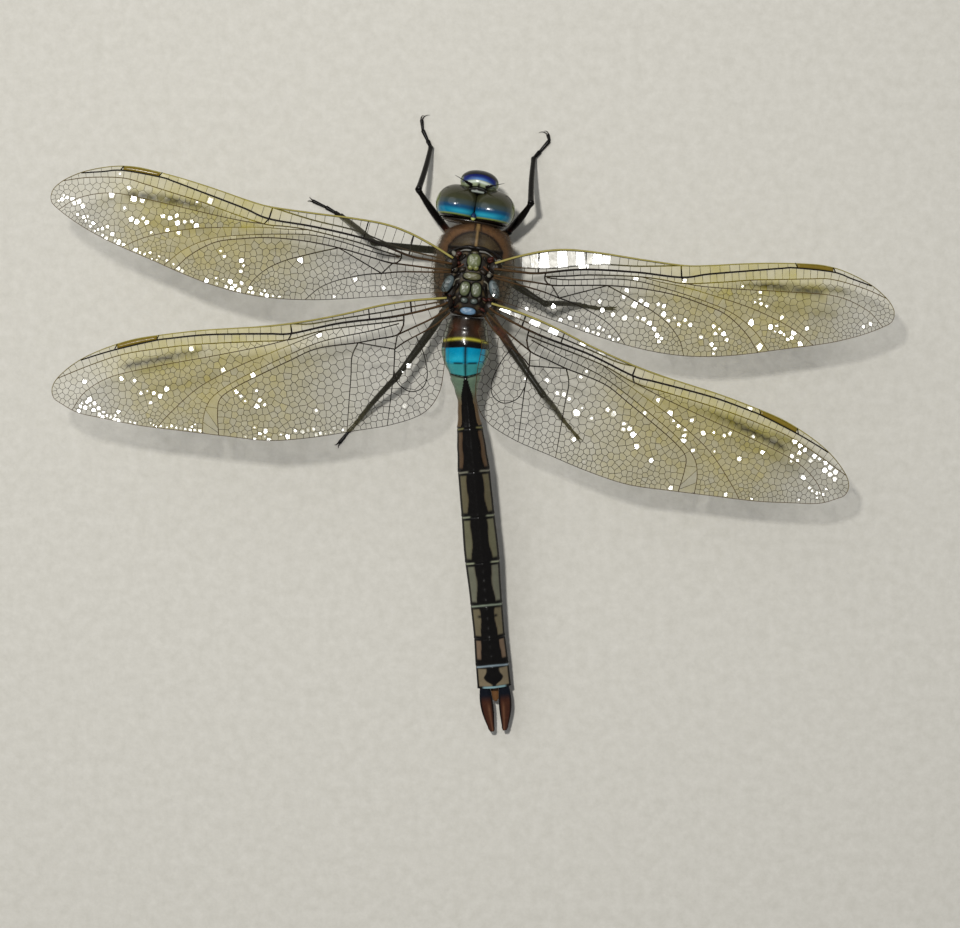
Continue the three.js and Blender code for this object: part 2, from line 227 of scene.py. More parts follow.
def ellipsoid(radii, columns, rows, power=2.0):
    """Points and faces of a rounded lump round its own centre, its poles above and below."""
    lat, lon = np.meshgrid(math.pi * np.arange(1, rows) / rows - math.pi / 2, turns(columns), indexing="ij")
    ball = np.stack([np.cos(lat) * np.cos(lon), np.cos(lat) * np.sin(lon), np.sin(lat)], axis=-1)
    points = np.vstack([squarish(ball, power).reshape(-1, 3), [[0, 0, -1], [0, 0, 1]]])
    return points * arr(radii), ring_faces(rows - 1, columns, "fan")


# ---- Materials ----

def new_material(name):
    mat = bpy.data.materials.new(name)
    mat.use_nodes = True
    return mat, mat.node_tree, mat.node_tree.nodes["Principled BSDF"]


def noise(tree, scale, detail=4.0, roughness=0.6):
    where = tree.nodes.new("ShaderNodeTexCoord")
    node = tree.nodes.new("ShaderNodeTexNoise")
    node.inputs["Scale"].default_value = scale
    node.inputs["Detail"].default_value = detail
    node.inputs["Roughness"].default_value = roughness
    tree.links.new(where.outputs["Object"], node.inputs["Vector"])
    return node.outputs["Fac"]


def ramp(tree, value, low, high, at_low=0.0, at_high=1.0):
    node = tree.nodes.new("ShaderNodeMapRange")
    for socket, number in (("From Min", at_low), ("From Max", at_high), ("To Min", low), ("To Max", high)):
        node.inputs[socket].default_value = number
    tree.links.new(value, node.inputs["Value"])
    return node.outputs["Result"]


def mixed(tree, share, a, b):
    """A colour between two constant ones, by the share that a node gives out."""
    node = tree.nodes.new("ShaderNodeMix")
    node.data_type = "RGBA"
    tree.links.new(share, node.inputs["Factor"])
    for key, value in (("A", a), ("B", b)):
        socket = next(s for s in node.inputs if s.name == key and s.type == "RGBA")
        socket.default_value = (*value, 1)
    return next(s for s in node.outputs if s.type == "RGBA")


def bumped(tree, shader, height, strength, distance):
    node = tree.nodes.new("ShaderNodeBump")
    node.inputs["Strength"].default_value = strength
    node.inputs["Distance"].default_value = distance
    tree.links.new(height, node.inputs["Height"])
    tree.links.new(node.outputs["Normal"], shader.inputs["Normal"])


def marked(name, patches, spread):
    """A material in the mesh's own colours, mottled, and the node that reads them."""
    mat, tree, shader = new_material(name)
    markings = tree.nodes.new("ShaderNodeVertexColor")
    markings.layer_name = "paint"
    tone = tree.nodes.new("ShaderNodeVectorMath")
    tone.operation = "SCALE"
    tree.links.new(markings.outputs["Color"], tone.inputs[0])
    tree.links.new(ramp(tree, noise(tree, patches), 1 - spread, 1 + spread), tone.inputs["Scale"])
    tree.links.new(tone.outputs[0], shader.inputs["Base Color"])
    return mat, tree, shader, markings


def painted(name, roughness, grain, grain_depth, spread=0.25, coat=0.0, specular=0.5):
    """A cuticle: the mesh's own markings, mottled, with a fine grain."""
    mat, tree, shader, _ = marked(name, 900, spread)
    worn = ramp(tree, noise(tree, 2500), roughness - 0.1, roughness + 0.12, 0.3, 0.7)
    tree.links.new(worn, shader.inputs["Roughness"])
    bumped(tree, shader, noise(tree, grain, 3.0), grain_depth, 0.00006)
    shader.inputs["Specular IOR Level"].default_value = specular
    if coat:
        shader.inputs["Coat Weight"].default_value = coat
        shader.inputs["Coat Roughness"].default_value = 0.12
    return mat


def film_material():
    """The wing's film: tint and thickness come from the mesh's own colour and its alpha."""
    mat, tree, shader, tint = marked("membrane", 350, 0.15)
    depth = tree.nodes.new("ShaderNodeMath")
    depth.operation = "MULTIPLY"
    tree.links.new(tint.outputs["Alpha"], depth.inputs[0])
    tree.links.new(ramp(tree, noise(tree, 500), 0.85, 1.15, 0.3, 0.7), depth.inputs[1])
    tree.links.new(depth.outputs[0], shader.inputs["Alpha"])
    tree.links.new(ramp(tree, noise(tree, 900), 0.08, 0.15, 0.3, 0.7), shader.inputs["Roughness"])
    bumped(tree, shader, noise(tree, 1500, 2.0), 0.12, 0.00004)
    shader.inputs["Specular IOR Level"].default_value = 0.6
    return mat


CUTICLE = painted("cuticle", 0.22, 2600, 0.4, coat=0.15, specular=0.15)
THORAX_SKIN = painted("thorax_skin", 0.48, 1900, 0.8, spread=0.45, specular=0.18)
EYE_SKIN = painted("eye_skin", 0.14, 5200, 0.1, spread=0.12, specular=0.38)
FACE = painted("face_skin", 0.2, 2400, 0.3, spread=0.2, specular=0.3)
SHIELD = painted("shield", 0.36, 1500, 0.7, spread=0.35, specular=0.35)
LEG_BLACK = painted("leg_black", 0.28, 2600, 0.4, specular=0.14)
VEIN = painted("vein_dark", 0.5, 3500, 0.3, specular=0.12)
HAIR = painted("hair", 0.5, 3000, 0.1)
MEMBRANE = film_material()

# ---- Wings ----

WING_SPAN = 49.5
HINGE_OUT = 2.6
FORE_HINGE = (0.9, 12.95)
HIND_HINGE = (-4.0, 12.75)
WING_SET = {
    "forewing_left": (1, FORE_HINGE, -2.3, 2.6),
    "forewing_right": (-1, FORE_HINGE, -0.2, -1.6),
    "hindwing_left": (1, HIND_HINGE, 20.1, 2.2),
    "hindwing_right": (-1, HIND_HINGE, 20.1, -1.8),
}

# Vein courses in the wing's own plane: along the span, then behind the line from root to tip.
FORE = {
    "lead": [[0, -.5], [3, -1.75], [6, -2.72], [9, -3.22], [13, -3.25], [18, -3.06], [23, -2.98],
             [26, -3.33], [30, -4.02], [34, -4.6], [38, -4.99], [40.5, -5.03], [43, -4.6],
             [46, -3.5], [48.2, -2.1], [49.3, -.85], [49.5, .1]],
    "trail": [[0, 3.7], [3, 4.4], [6, 5.12], [9, 5.81], [12, 6.54], [16, 7.35], [20, 7.88],
              [24, 8.02], [28, 7.65], [32, 6.85], [36, 5.82], [40, 4.82], [43, 3.93], [46, 2.75],
              [48.3, 1.55], [49.3, .8], [49.5, .1]],
    "subcosta": [[0, -.25], [3, -.35], [7, -.75], [12.2, -1.85], [17.5, -2.25], [22.7, -2.95]],
    "radius": [[0, .2], [3, .2], [5.4, .1], [10.7, -1], [17.3, -1.45], [22.9, -1.5], [26.2, -2.3],
               [31.6, -3.4], [35.1, -4.1], [36.7, -4.35], [41.4, -4.4], [43.8, -3.85],
               [46.3, -3.28]],
    "sector": [[6.2, .4], [9, 0], [12, -.5], [17.4, -.95], [20.5, -.95], [23.4, -.8], [27.8, -1.5],
               [31.4, -2.2], [34.9, -2.7], [38.4, -3.2], [41.3, -3.5], [45.3, -2.9], [48.3, -2.0]],
    "second": [[23.4, -.8], [26, -.72], [30, -.9], [36, -1.3], [42, -1.5], [46, -.3],
               [48.3, 1.55]],
    "between": [[18, -.97], [20.5, -.62], [23, -.4], [26, .05], [32, 1.25], [37, 3], [40, 4.82]],
    "third": [[6.5, .5], [9.1, .45], [14.1, -.25], [17.5, -.4], [20.9, .05], [25.8, 1], [29.6, 2.1],
              [32.5, 3.9], [34.6, 6.18]],
    "media": [[6.3, .8], [7.2, 1.35], [10.5, .98], [14, .58], [18.2, .45], [22.4, .75],
              [25.8, 1.45], [28.9, 2.4], [31.6, 4.4], [33.3, 6.53]],
    "media_rear": [[14, .58], [16, 1.35], [18, 2.2], [20, 3.1], [22, 4.4], [23.6, 6.2],
                   [24.3, 8.02]],
    "cubitus": [[0, .95], [2.1, 1.15], [5, 1.25], [7.2, 1.35]],
    "cubitus_rear": [[8.3, 2.8], [10, 3.2], [12, 3.9], [14, 4.8], [15.6, 5.9], [17, 7.52]],
    "anal": [[0, 1.25], [2.1, 1.6], [5.9, 2.2], [8.3, 2.8]],
    "triangle_root": [[7.2, 1.35], [8.3, 2.8]],
    "triangle_rear": [[8.3, 2.8], [14, .58]],
}
HIND = {
    "lead": [[0, -.5], [4, -1.12], [8, -1.4], [13, -1.38], [18, -1.61], [22, -2.02], [26, -2.67],
             [30, -3.33], [34, -3.8], [38, -4.12], [41, -3.97], [44, -3.5], [46.4, -2.75],
             [48.5, -1.6], [49.35, -.6], [49.5, .15]],
    "trail": [[0, 3.2], [1.3, 4.7], [2.2, 7.6], [3.6, 10.7], [6, 12.6], [10, 13.1], [15, 12.8],
              [20, 12.42], [25, 11.63], [30, 9.92], [35, 8.1], [40, 6.26], [44, 4.45],
              [47, 3], [48.9, 1.3], [49.4, .7], [49.5, .15]],
    "subcosta": [[0, -.2], [4, -.4], [8, -.58], [13.5, -.95], [17, -1.15], [19.3, -1.7]],
    "radius": [[0, .05], [1.5, .3], [6.7, .3], [13.5, -.4], [19.4, -.5], [22, -1.05], [26, -1.95],
               [30, -2.75], [34, -3.25], [36, -3.42], [40.5, -3.42], [43, -3.3], [45.2, -3.12]],
    "sector": [[5.7, .95], [8, .75], [12, .3], [16, 0], [20, .15], [24, -.55], [28, -1.3],
               [32, -1.95], [36, -2.4], [40, -2.65], [44, -2.3], [48.5, -1.6]],
    "second": [[20, .15], [24, .2], [30, 0], [36, -.3], [42, -.3], [45.5, .75], [47.6, 2.55]],
    "between": [[15.5, .02], [18, .5], [22, 1.15], [27, 2], [32, 3.4], [36, 5.6], [38, 6.98]],
    "third": [[6.4, 1.25], [10, 1.35], [14, 1.25], [16.8, 1.35], [20.5, 2], [24.1, 2.8],
              [27.7, 3.7], [30.6, 4.9], [32, 6.6], [32.8, 8.93]],
    "media": [[5.85, 1.5], [6.9, 2.55], [9.5, 2.5], [11.8, 2.42], [16.8, 2], [20.5, 2.7],
              [24.1, 3.5], [27.7, 4.4], [29.7, 5.3], [30.4, 6.9], [30.9, 9.58]],
    "media_rear": [[11.8, 2.42], [12.9, 3.9], [13.6, 6.3], [14.6, 9.5], [15.6, 12.77]],
    "cubitus": [[0, .75], [2.1, 1.5], [5, 2.15], [6.9, 2.55]],
    "cubitus_rear": [[7.6, 4.2], [8.4, 7], [9.4, 9.8], [10.6, 13.08]],
    "anal": [[0, 1.35], [2.3, 2.5], [6.2, 3.6], [7.6, 4.2]],
    "triangle_root": [[6.9, 2.55], [7.6, 4.2]],
    "triangle_rear": [[7.6, 4.2], [11.8, 2.42]],
}
LOOP = [[8.3, 6.6], [8.15, 8.4], [6.9, 9.7], [5.3, 9.5], [4.4, 8], [4.3, 5.4], [4.7, 3.2]]

# Each field between veins: its border as (vein, from, to) along the span, and its cells' size.
FORE_FIELDS = [
    ("row", 1.2, [("lead", 0, 22.7), ("subcosta", 22.7, 0)]),
    ("row", 1.45, [("subcosta", 0, 22.7), ("radius", 22.9, 0)]),
    ("row", 1.35, [("lead", 22.7, 46.3), ("radius", 46.3, 22.9)]),
    ("row", 1.0, [("radius", 6.2, 46.3), ("lead", 46.3, 48.3), ("sector", 48.3, 6.2)]),
    ("row", 3.0, [("radius", 0, 6.2), ("cubitus", 7.2, 0)]),
    ("mesh", 0.85, [("sector", 6.5, 18), ("between", 18, 40), ("trail", 40, 34.6),
                    ("third", 34.6, 6.5)]),
    ("mesh", 0.82, [("sector", 18, 23.4), ("second", 23.4, 48.3), ("trail", 48.3, 40),
                    ("between", 40, 18)]),
    ("mesh", 0.8, [("sector", 23.4, 48.3), ("lead", 48.3, 49.5), ("trail", 49.5, 48.3),
                   ("second", 48.3, 23.4)]),
    ("row", 0.85, [("third", 6.5, 34.6), ("trail", 34.6, 33.3), ("media", 33.3, 6.3)]),
    ("mesh", 0.88, [("media", 14, 33.3), ("trail", 33.3, 24.3), ("media_rear", 24.3, 14)]),
    ("mesh", 1.0, [("media", 7.2, 14), ("triangle_rear", 14, 8.3), ("triangle_root", 8.3, 7.2)]),
    ("mesh", 0.88, [("media_rear", 14, 24.3), ("trail", 24.3, 17), ("cubitus_rear", 17, 8.3),
                    ("triangle_rear", 8.3, 14)]),
    ("row", 1.1, [("cubitus", 0, 7.2), ("triangle_root", 7.2, 8.3), ("anal", 8.3, 0)]),
    ("mesh", 0.9, [("anal", 0, 8.3), ("cubitus_rear", 8.3, 17), ("trail", 17, 0)]),
]
HIND_FIELDS = [
    ("row", 1.5, [("lead", 0, 19.3), ("subcosta", 19.3, 0)]),
    ("row", 1.6, [("subcosta", 0, 19.3), ("radius", 19.4, 0)]),
    ("row", 1.45, [("lead", 19.3, 45.2), ("radius", 45.2, 19.4)]),
    ("row", 1.0, [("radius", 5.7, 45.2), ("lead", 45.2, 48.5), ("sector", 48.5, 5.7)]),
    ("row", 3.0, [("radius", 0, 5.7), ("media", 5.85, 6.9), ("cubitus", 6.9, 0)]),
    ("mesh", 0.85, [("sector", 6.4, 15.5), ("between", 15.5, 38), ("trail", 38, 32.8),
                    ("third", 32.8, 6.4)]),
    ("mesh", 0.84, [("sector", 15.5, 20), ("second", 20, 47.6), ("trail", 47.6, 38),
                    ("between", 38, 15.5)]),
    ("mesh", 0.82, [("sector", 20, 48.5), ("lead", 48.5, 49.5), ("trail", 49.5, 47.6),
                    ("second", 47.6, 20)]),
    ("row", 0.9, [("third", 6.4, 32.8), ("trail", 32.8, 30.9), ("media", 30.9, 5.85)]),
    ("mesh", 0.92, [("media", 11.8, 30.9), ("trail", 30.9, 15.6), ("media_rear", 15.6, 11.8)]),
    ("mesh", 1.1, [("media", 6.9, 11.8), ("triangle_rear", 11.8, 7.6), ("triangle_root", 7.6, 6.9)]),
    ("mesh", 0.95, [("media_rear", 11.8, 15.6), ("trail", 15.6, 10.6), ("cubitus_rear", 10.6, 7.6),
                    ("triangle_rear", 7.6, 11.8)]),
    ("row", 1.2, [("cubitus", 0, 6.9), ("triangle_root", 6.9, 7.6), ("anal", 7.6, 0)]),
    ("mesh", 1.0, [("anal", 0, 7.6), ("cubitus_rear", 7.6, 10.6), ("trail", 10.6, 0)]),
]

# Thickness of each main vein at its root and at its end, and how high it rides in the pleats.
VEIN_SIZE = {
    "lead": (0.15, 0.06, 0.05), "trail": (0.04, 0.035, 0), "subcosta": (0.1, 0.09, -0.38),
    "radius": (0.16, 0.085, 0.14), "sector": (0.1, 0.05, -0.12), "second": (0.055, 0.04, 0.02),
    "between": (0.055, 0.045, -0.14), "third": (0.08, 0.045, -0.02), "media": (0.1, 0.05, 0.1),
    "media_rear": (0.09, 0.045, -0.1), "cubitus": (0.14, 0.1, 0.0),
    "cubitus_rear": (0.085, 0.045, 0.08), "anal": (0.12, 0.08, 0.12),
    "triangle_root": (0.08, 0.08, 0.0), "triangle_rear": (0.08, 0.07, 0.0),
}
FORE_EXTRA = [([[6.3, .05], [6.25, .45], [6.35, .85]], 0.09), ([[22.7, -3.0], [22.9, -1.5]], 0.1),
              ([[22.9, -1.5], [23.4, -.8]], 0.08), ([[36.6, -4.95], [37, -4.3]], 0.07),
              ([[41.3, -4.95], [41.7, -4.35]], 0.07), ([[5.2, -2.45], [5.4, .1]], 0.09),
              ([[10.9, -3.25], [11.2, -1.05]], 0.08)]
HIND_EXTRA = [([[5.6, .3], [5.7, .9], [5.9, 1.55]], 0.1), ([[19.3, -1.7], [19.4, -.5]], 0.1),
              ([[19.4, -.5], [20, .15]], 0.08), ([[35.2, -3.95], [35.7, -3.4]], 0.07),
              ([[40.4, -4.05], [40.9, -3.42]], 0.07), ([[4.4, -1.15], [4.6, .3]], 0.11),
              ([[9.6, -1.4], [9.8, 0]], 0.08), (LOOP, 0.06)]
STIGMA = {"fore": (36.85, 41.35), "hind": (35.45, 40.5)}
# Size of the cells in narrow and in wide fields, as a share of the field's own figure.
CELL_SIZE = {"row": 0.88, "mesh": 0.8}
# How far a cell's rim follows the pleats instead of its own flat facet.
PLEAT_SHARE = 0.2
DARK_VEIN = (22, 17, 12)
STREAK_LINE = {"fore": [[27.8, -1.35], [33.4, -1.75], [39.2, -1.75], [40.9, -1.6]],
              "hind": [[26, -.25], [33, -.95], [39, -1.15], [41, -1.1]]}
# Short chains of blisters that catch the light, from one place in the wing's plane to another.
GLINT_WIDTH = 0.55
STRAY_GLINTS = 0.012
GLINTS = {
    "forewing_left": [
        ([48.2, -.3], [46.6, .2]), ([45.6, .9], [44.6, 2.6]), ([44.6, 2.6], [38.2, 5.0]),
        ([38.2, 5.0], [32.6, 6.4]), ([42.9, -1], [39.3, 1.2]), ([39.7, -1.2], [31.8, .9]),
        ([38.9, .6], [31, 2.7]), ([28.8, 3], [25.1, 4.5]), ([30.3, 7], [21, 7.7])],
    "hindwing_left": [
        ([41.6, -.9], [39.1, 2.3]), ([39.1, 2.3], [36.5, 3]), ([45.8, 2.4], [44, 4.3]),
        ([44, 4.3], [36.1, 7.5]), ([36.1, 7.5], [32.5, 8.8]), ([28.3, 5.1], [24.4, 7.6]),
        ([28, 10.6], [15, 12.6])],
    "forewing_right": [
        ([16.2, 1.6], [21.1, 6.3]), ([18.4, 1.8], [24.2, 4.2]), ([32.6, -.4], [38.4, 3.8]),
        ([34.4, 3], [38, 4.7]), ([8.7, 5.2], [16.2, 7.1]), ([26.6, 5.6], [28, 6.7]),
        ([13.1, 3.4], [18, 4.1]), ([27, 3.6], [28.6, 4.3])],
    "hindwing_right": [
        ([12.6, 5.2], [17.6, 6.7]), ([19.2, 4.4], [24.1, 6.9]), ([25.5, 2.1], [30.6, 4]),
        ([28.5, 1.2], [31.6, 1.6]), ([32.9, .9], [36.4, 2.6]), ([41.1, -2.1], [47.1, -1.2]),
        ([41.8, -.1], [46.5, 2.2]), ([47.6, -.6], [46.5, 2.2]), ([10, 4.8], [12.6, 5.2])],
}
# Where whole cells lean that way: from and to along the span, from and to behind the root line.
SHEETS = {"forewing_right": (1.5, 13.5, -3.2, -1.1), "hindwing_right": (1.2, 9, -1.4, -0.3)}
# How a facet has to lean, along the span and across it, to mirror the lamp to the camera.
LIGHT_LEAN = {"forewing_left": (-0.03, 0.04), "hindwing_left": (0.0, 0.075),
              "forewing_right": (0.2, 0.04), "hindwing_right": (0.21, 0.025)}


def section(vein, start, end):
    """The stretch of a vein between two places along the span, in that order."""
    u, v = vein[:, 0], vein[:, 1]
    low, high = min(start, end), max(start, end)
    inside = (u > low + 1e-6) & (u < high - 1e-6)
    ends = np.interp([low, high], u, v)
    run = np.vstack([[low, ends[0]], vein[inside], [high, ends[1]]])
    return run if start <= end else run[::-1]


def in_polygon(points, polygon):
    x, y = points[:, 0], points[:, 1]
    inside = np.zeros(len(points), bool)
    for (x1, y1), (x2, y2) in zip(polygon, np.roll(polygon, -1, axis=0)):
        if y1 != y2:
            inside ^= ((y1 > y) != (y2 > y)) & (x < (x2 - x1) * (y - y1) / (y2 - y1) + x1)
    return inside


def clip(polygon, labels, normal, level, label):
    """The part of a polygon where normal . p < level, its edges keeping their labels."""
    out, marks = [], []
    d = [normal[0] * p[0] + normal[1] * p[1] - level for p in polygon]
    for i, p in enumerate(polygon):
        j = (i + 1) % len(polygon)
        q = polygon[j]
        if d[i] <= 0:
            out.append(p)
            marks.append(labels[i])
        if (d[i] <= 0) != (d[j] <= 0):
            t = d[i] / (d[i] - d[j])
            out.append((p[0] + t * (q[0] - p[0]), p[1] + t * (q[1] - p[1])))
            marks.append(label if d[i] <= 0 else labels[i])
    return out, marks


def row_seeds(border, spacing):
    """Seeds in one row along the middle of a narrow field."""
    low, high = border[:, 0].min(), border[:, 0].max()
    count = max(1, int(round((high - low) / spacing)))
    places = low + (high - low) * (np.arange(count) + 0.5) / count
    places += rng.uniform(-0.12, 0.12, count) * spacing
    seeds = []
    for u in places:
        crossings = []
        for p, q in zip(border, np.roll(border, -1, axis=0)):
            if (p[0] - u) * (q[0] - u) < 0:
                crossings.append(p[1] + (u - p[0]) / (q[0] - p[0]) * (q[1] - p[1]))
        if len(crossings) >= 2:
            seeds.append([u, (min(crossings) + max(crossings)) / 2])
    return arr(seeds)


SPOT_STEP = 0.14
EVENING_ROUNDS = 22


def mesh_seeds(border, spacing, trail):
    """Seeds spread evenly over a wide field, closer together towards the wing's rear edge."""
    low, high = border.min(axis=0), border.max(axis=0)
    us, vs = np.meshgrid(np.arange(low[0], high[0], SPOT_STEP), np.arange(low[1], high[1], SPOT_STEP))
    spots = np.stack([us.ravel(), vs.ravel()], axis=1)
    spots = spots[in_polygon(spots, border)]
    to_edge = np.interp(spots[:, 0], trail[:, 0], trail[:, 1]) - spots[:, 1]
    weight = 1 / (spacing * (0.8 + 0.35 * smooth(0, 5, to_edge))) ** 2
    count = max(2, int(round(weight.sum() * SPOT_STEP ** 2 * 0.95)))
    seeds = spots[rng.choice(len(spots), count, replace=False, p=weight / weight.sum())]
    for _ in range(EVENING_ROUNDS):
        nearest = ((spots[:, None, :] - seeds[None, :, :]) ** 2).sum(axis=2).argmin(axis=1)
        for axis in (0, 1):
            total = np.bincount(nearest, weight * spots[:, axis], count)
            seeds[:, axis] = total / np.maximum(np.bincount(nearest, weight, count), 1e-9)
    return seeds


def cells_of(border, seeds):
    """Each seed's cell in the field, and the cross veins between cells."""
    cells, cross = [], []
    for i, seed in enumerate(seeds):
        shape, marks = [tuple(p) for p in border], [-1] * len(border)
        # Fifteen neighbours are enough to close a cell.
        for j in np.argsort(((seeds - seed) ** 2).sum(axis=1))[1:16]:
            normal = seeds[j] - seed
            shape, marks = clip(shape, marks, tuple(normal), normal @ (seeds[j] + seed) / 2, int(j))
            if len(shape) < 3:
                break
        if len(shape) < 3:
            continue
        cells.append(arr(shape))
        for k, mark in enumerate(marks):
            if mark > i:
                cross.append((shape[k], shape[(k + 1) % len(shape)]))
    return cells, cross


def wing_template(veins, fields, extra):
    """One kind of wing laid flat: its veins as curves, its cells and the cross veins between them."""
    curves = {name: catmull(points, 0.45) for name, points in veins.items()}
    samples = np.vstack([np.hstack([curve, np.full((len(curve), 1), VEIN_SIZE[name][2])])
                         for name, curve in curves.items()])
    cells, cross = [], []
    for kind, spacing, steps in fields:
        border = np.vstack([section(curves[name], start, end) for name, start, end in steps])
        keep = np.linalg.norm(border - np.roll(border, 1, axis=0), axis=1) > 0.02
        border = border[keep]
        size = spacing * CELL_SIZE[kind]
        seeds = row_seeds(border, size) if kind == "row" else mesh_seeds(border, size, curves["trail"])
        found, links = cells_of(border, seeds)
        cells += found
        cross += links
    return {"curves": curves, "samples": samples, "cells": cells, "cross": cross, "extra": extra}


def pleat(template, uv):
    """The height of the pleated wing at places in its plane."""
    uv = np.atleast_2d(uv)
    samples = template["samples"]
    height = np.zeros(len(uv))
    chunk = 2000
    for start in range(0, len(uv), chunk):
        part = uv[start:start + chunk]
        d2 = ((part[:, None, :] - samples[None, :, :2]) ** 2).sum(axis=2)
        weight = 1 / (d2 + 0.01) ** 1.6
        height[start:start + chunk] = (weight * samples[:, 2]).sum(axis=1) / weight.sum(axis=1)
    return height * (1 - 0.55 * smooth(10, 45, uv[:, 0]))


def on_wing(setting, uv, height):
    """Places in the wing's plane, and heights over it, on the wing as it is held."""
    side, (hinge_ahead, hinge_up), sweep, lift = setting
    uv = np.atleast_2d(uv)
    a = math.radians(sweep)
    u, v = uv[:, 0], uv[:, 1]
    out = u * math.cos(a) - v * math.sin(a)
    back = u * math.sin(a) + v * math.cos(a)
    bow = 0.5 * np.sin(math.pi * u / WING_SPAN)
    up = hinge_up + math.sin(math.radians(lift)) * u + bow + height
    return thorax_to_model(body(side * (HINGE_OUT + out), hinge_ahead - back, up))


def amber(uv, kind):
    """How strongly the film is tinted at each place: clear at the root and the tip."""
    u, v = uv[:, 0], uv[:, 1]
    middle = 27 if kind == "fore" else 25
    share = smooth(9, middle, u) * (1 - 0.75 * smooth(36, 46, u))
    return np.clip(0.04 + 0.96 * share * (1 - 0.25 * smooth(2, 9, v)), 0, 1)


def dark_streak(uv, kind):
    """The darker line behind the sector vein in the outer half."""
    line = np.interp(uv[:, 0], *arr(STREAK_LINE[kind]).T)
    along = smooth(25, 35, uv[:, 0]) * (1 - smooth(39.5, 41.5, uv[:, 0]))
    return bump(uv[:, 1] - line, 0.5) * along


def glint_share(name, uv):
    """How likely the cell at a place catches the light."""
    gaps = []
    for start, end in GLINTS[name]:
        start, run = arr(start), arr(end) - arr(start)
        share = np.clip((uv - start) @ run / (run @ run), 0, 1)
        gaps.append(np.linalg.norm(start + share * run - uv))
    return float(bump(min(gaps), GLINT_WIDTH))


def in_sheet(name, uv):
    low_u, high_u, low_v, high_v = SHEETS.get(name, (0, 0, 0, 0))
    return low_u < uv[0] < high_u and low_v < uv[1] < high_v


def film_paint(uv, kind, strength, sheet):
    """The film's colour and, as its alpha, how thick it looks."""
    tint = np.clip(amber(uv, kind) * strength, 0, 1.2)
    gold = tint * (1 - smooth(-1.5, 2.0, uv[:, 1])) * smooth(17, 25, uv[:, 0])
    streak = dark_streak(uv, kind)
    colour = layered((150, 150, 132), tint, [
        ((172, 156, 44), tint ** 0.6), ((168, 154, 8), gold), ((40, 34, 6), streak)])
    alpha = 0.035 + 0.4 * tint + 0.06 * gold + 0.42 * streak + 0.08 * sheet
    return np.hstack([colour, alpha[:, None]])


def wing_film(name, template, kind):
    """The film, one flat facet for each cell, and the blisters in it that catch the light."""
    setting = WING_SET[name]
    dice = rng.spawn(1)[0]
    film = Build()
    for cell in template["cells"]:
        centre = cell.mean(axis=0)
        level = float(pleat(template, centre)[0])
        aim = arr(LIGHT_LEAN[name]) + [0.0042 * (centre[0] - 30), 0]
        sheet = in_sheet(name, centre)
        if sheet:
            lean = aim + dice.normal(0, 0.006 + 0.0016 * centre[0], 2)
            rim = level + (cell - centre) @ lean
        else:
            # Away from the light, so that the plain film stays dull.
            steep = np.linalg.norm(aim)
            lean = aim * (1 - max(0.11, steep) / steep) + dice.normal(0, 0.014, 2)
            facet = level + (cell - centre) @ lean
            rim = facet + PLEAT_SHARE * (pleat(template, cell) - facet)
        n = len(cell)
        uv = np.vstack([cell, centre])
        paint = film_paint(uv, kind, 1 + dice.normal(0, 0.1), sheet)
        film.add(on_wing(setting, uv, np.append(rim, level)), [(i, (i + 1) % n, n) for i in range(n)], paint)
        if not sheet and dice.random() < 0.75 * glint_share(name, centre) + STRAY_GLINTS:
            lean = aim + dice.normal(0, 0.009, 2)
            blister = centre + (cell - centre) * dice.uniform(0.2, 0.68) + dice.normal(0, 0.05, 2)
            height = level + 0.03 + (blister - centre) @ lean
            film.add(on_wing(setting, blister, height), [tuple(range(n))],
                     np.append(linear((170, 168, 150)), 0.3))
    film.piece(f"{name}_film", MEMBRANE, "wing", (name,))


def wing_veins(name, template):
    """The main veins, the short strong ones, and the cross veins between the cells."""
    setting = WING_SET[name]
    veins = Build()
    dark = linear(DARK_VEIN)

    def lay(curve, radius, sides, colour=dark, flat=1.0, ends="flat"):
        points, faces = tube(on_wing(setting, curve, pleat(template, curve)), radius, sides, flat, ends)
        veins.add(points, faces, colour)

    for vein, (start, end, _) in VEIN_SIZE.items():
        curve = template["curves"][vein]
        u = curve[:, 0]
        radius = start + (end - start) * ((u - u.min()) / np.ptp(u)) ** 0.7
        if vein == "lead":
            radius = radius * (1 - 0.25 * smooth(22, 24, u))
        outer = 0.7 * smooth(8, 40, u) * (vein not in ("subcosta", "radius"))
        yellow = (1 - 0.6 * smooth(40, 49, u)) * (vein == "lead")
        colour = layered(DARK_VEIN, u, [
            ((92, 70, 34), outer), ((88, 62, 30), 0.55 * (1 - smooth(2, 9, u))), ((150, 140, 78), yellow)])
        lay(curve, radius, 6, np.repeat(colour, 6, axis=0), 0.9)
        if vein == "lead":
            edge = curve + np.stack([0 * u, radius * 0.75], axis=1)
            points, faces = tube(on_wing(setting, edge, pleat(template, curve) - 0.03), radius * 0.5, 5)
            veins.add(points, faces, dark)
    for course, radius in template["extra"]:
        lay(catmull(course), radius, 6)
    for pair in map(arr, template["cross"]):
        if np.linalg.norm(pair[1] - pair[0]) >= 0.03:
            radius = 0.031 - 0.007 * smooth(10, 40, pair[0, 0])
            lay(pair, radius, 4, dark if pair[0, 0] < 24 else linear((40, 31, 18)), ends="open")
    veins.piece(f"{name}_veins", VEIN, "wing")


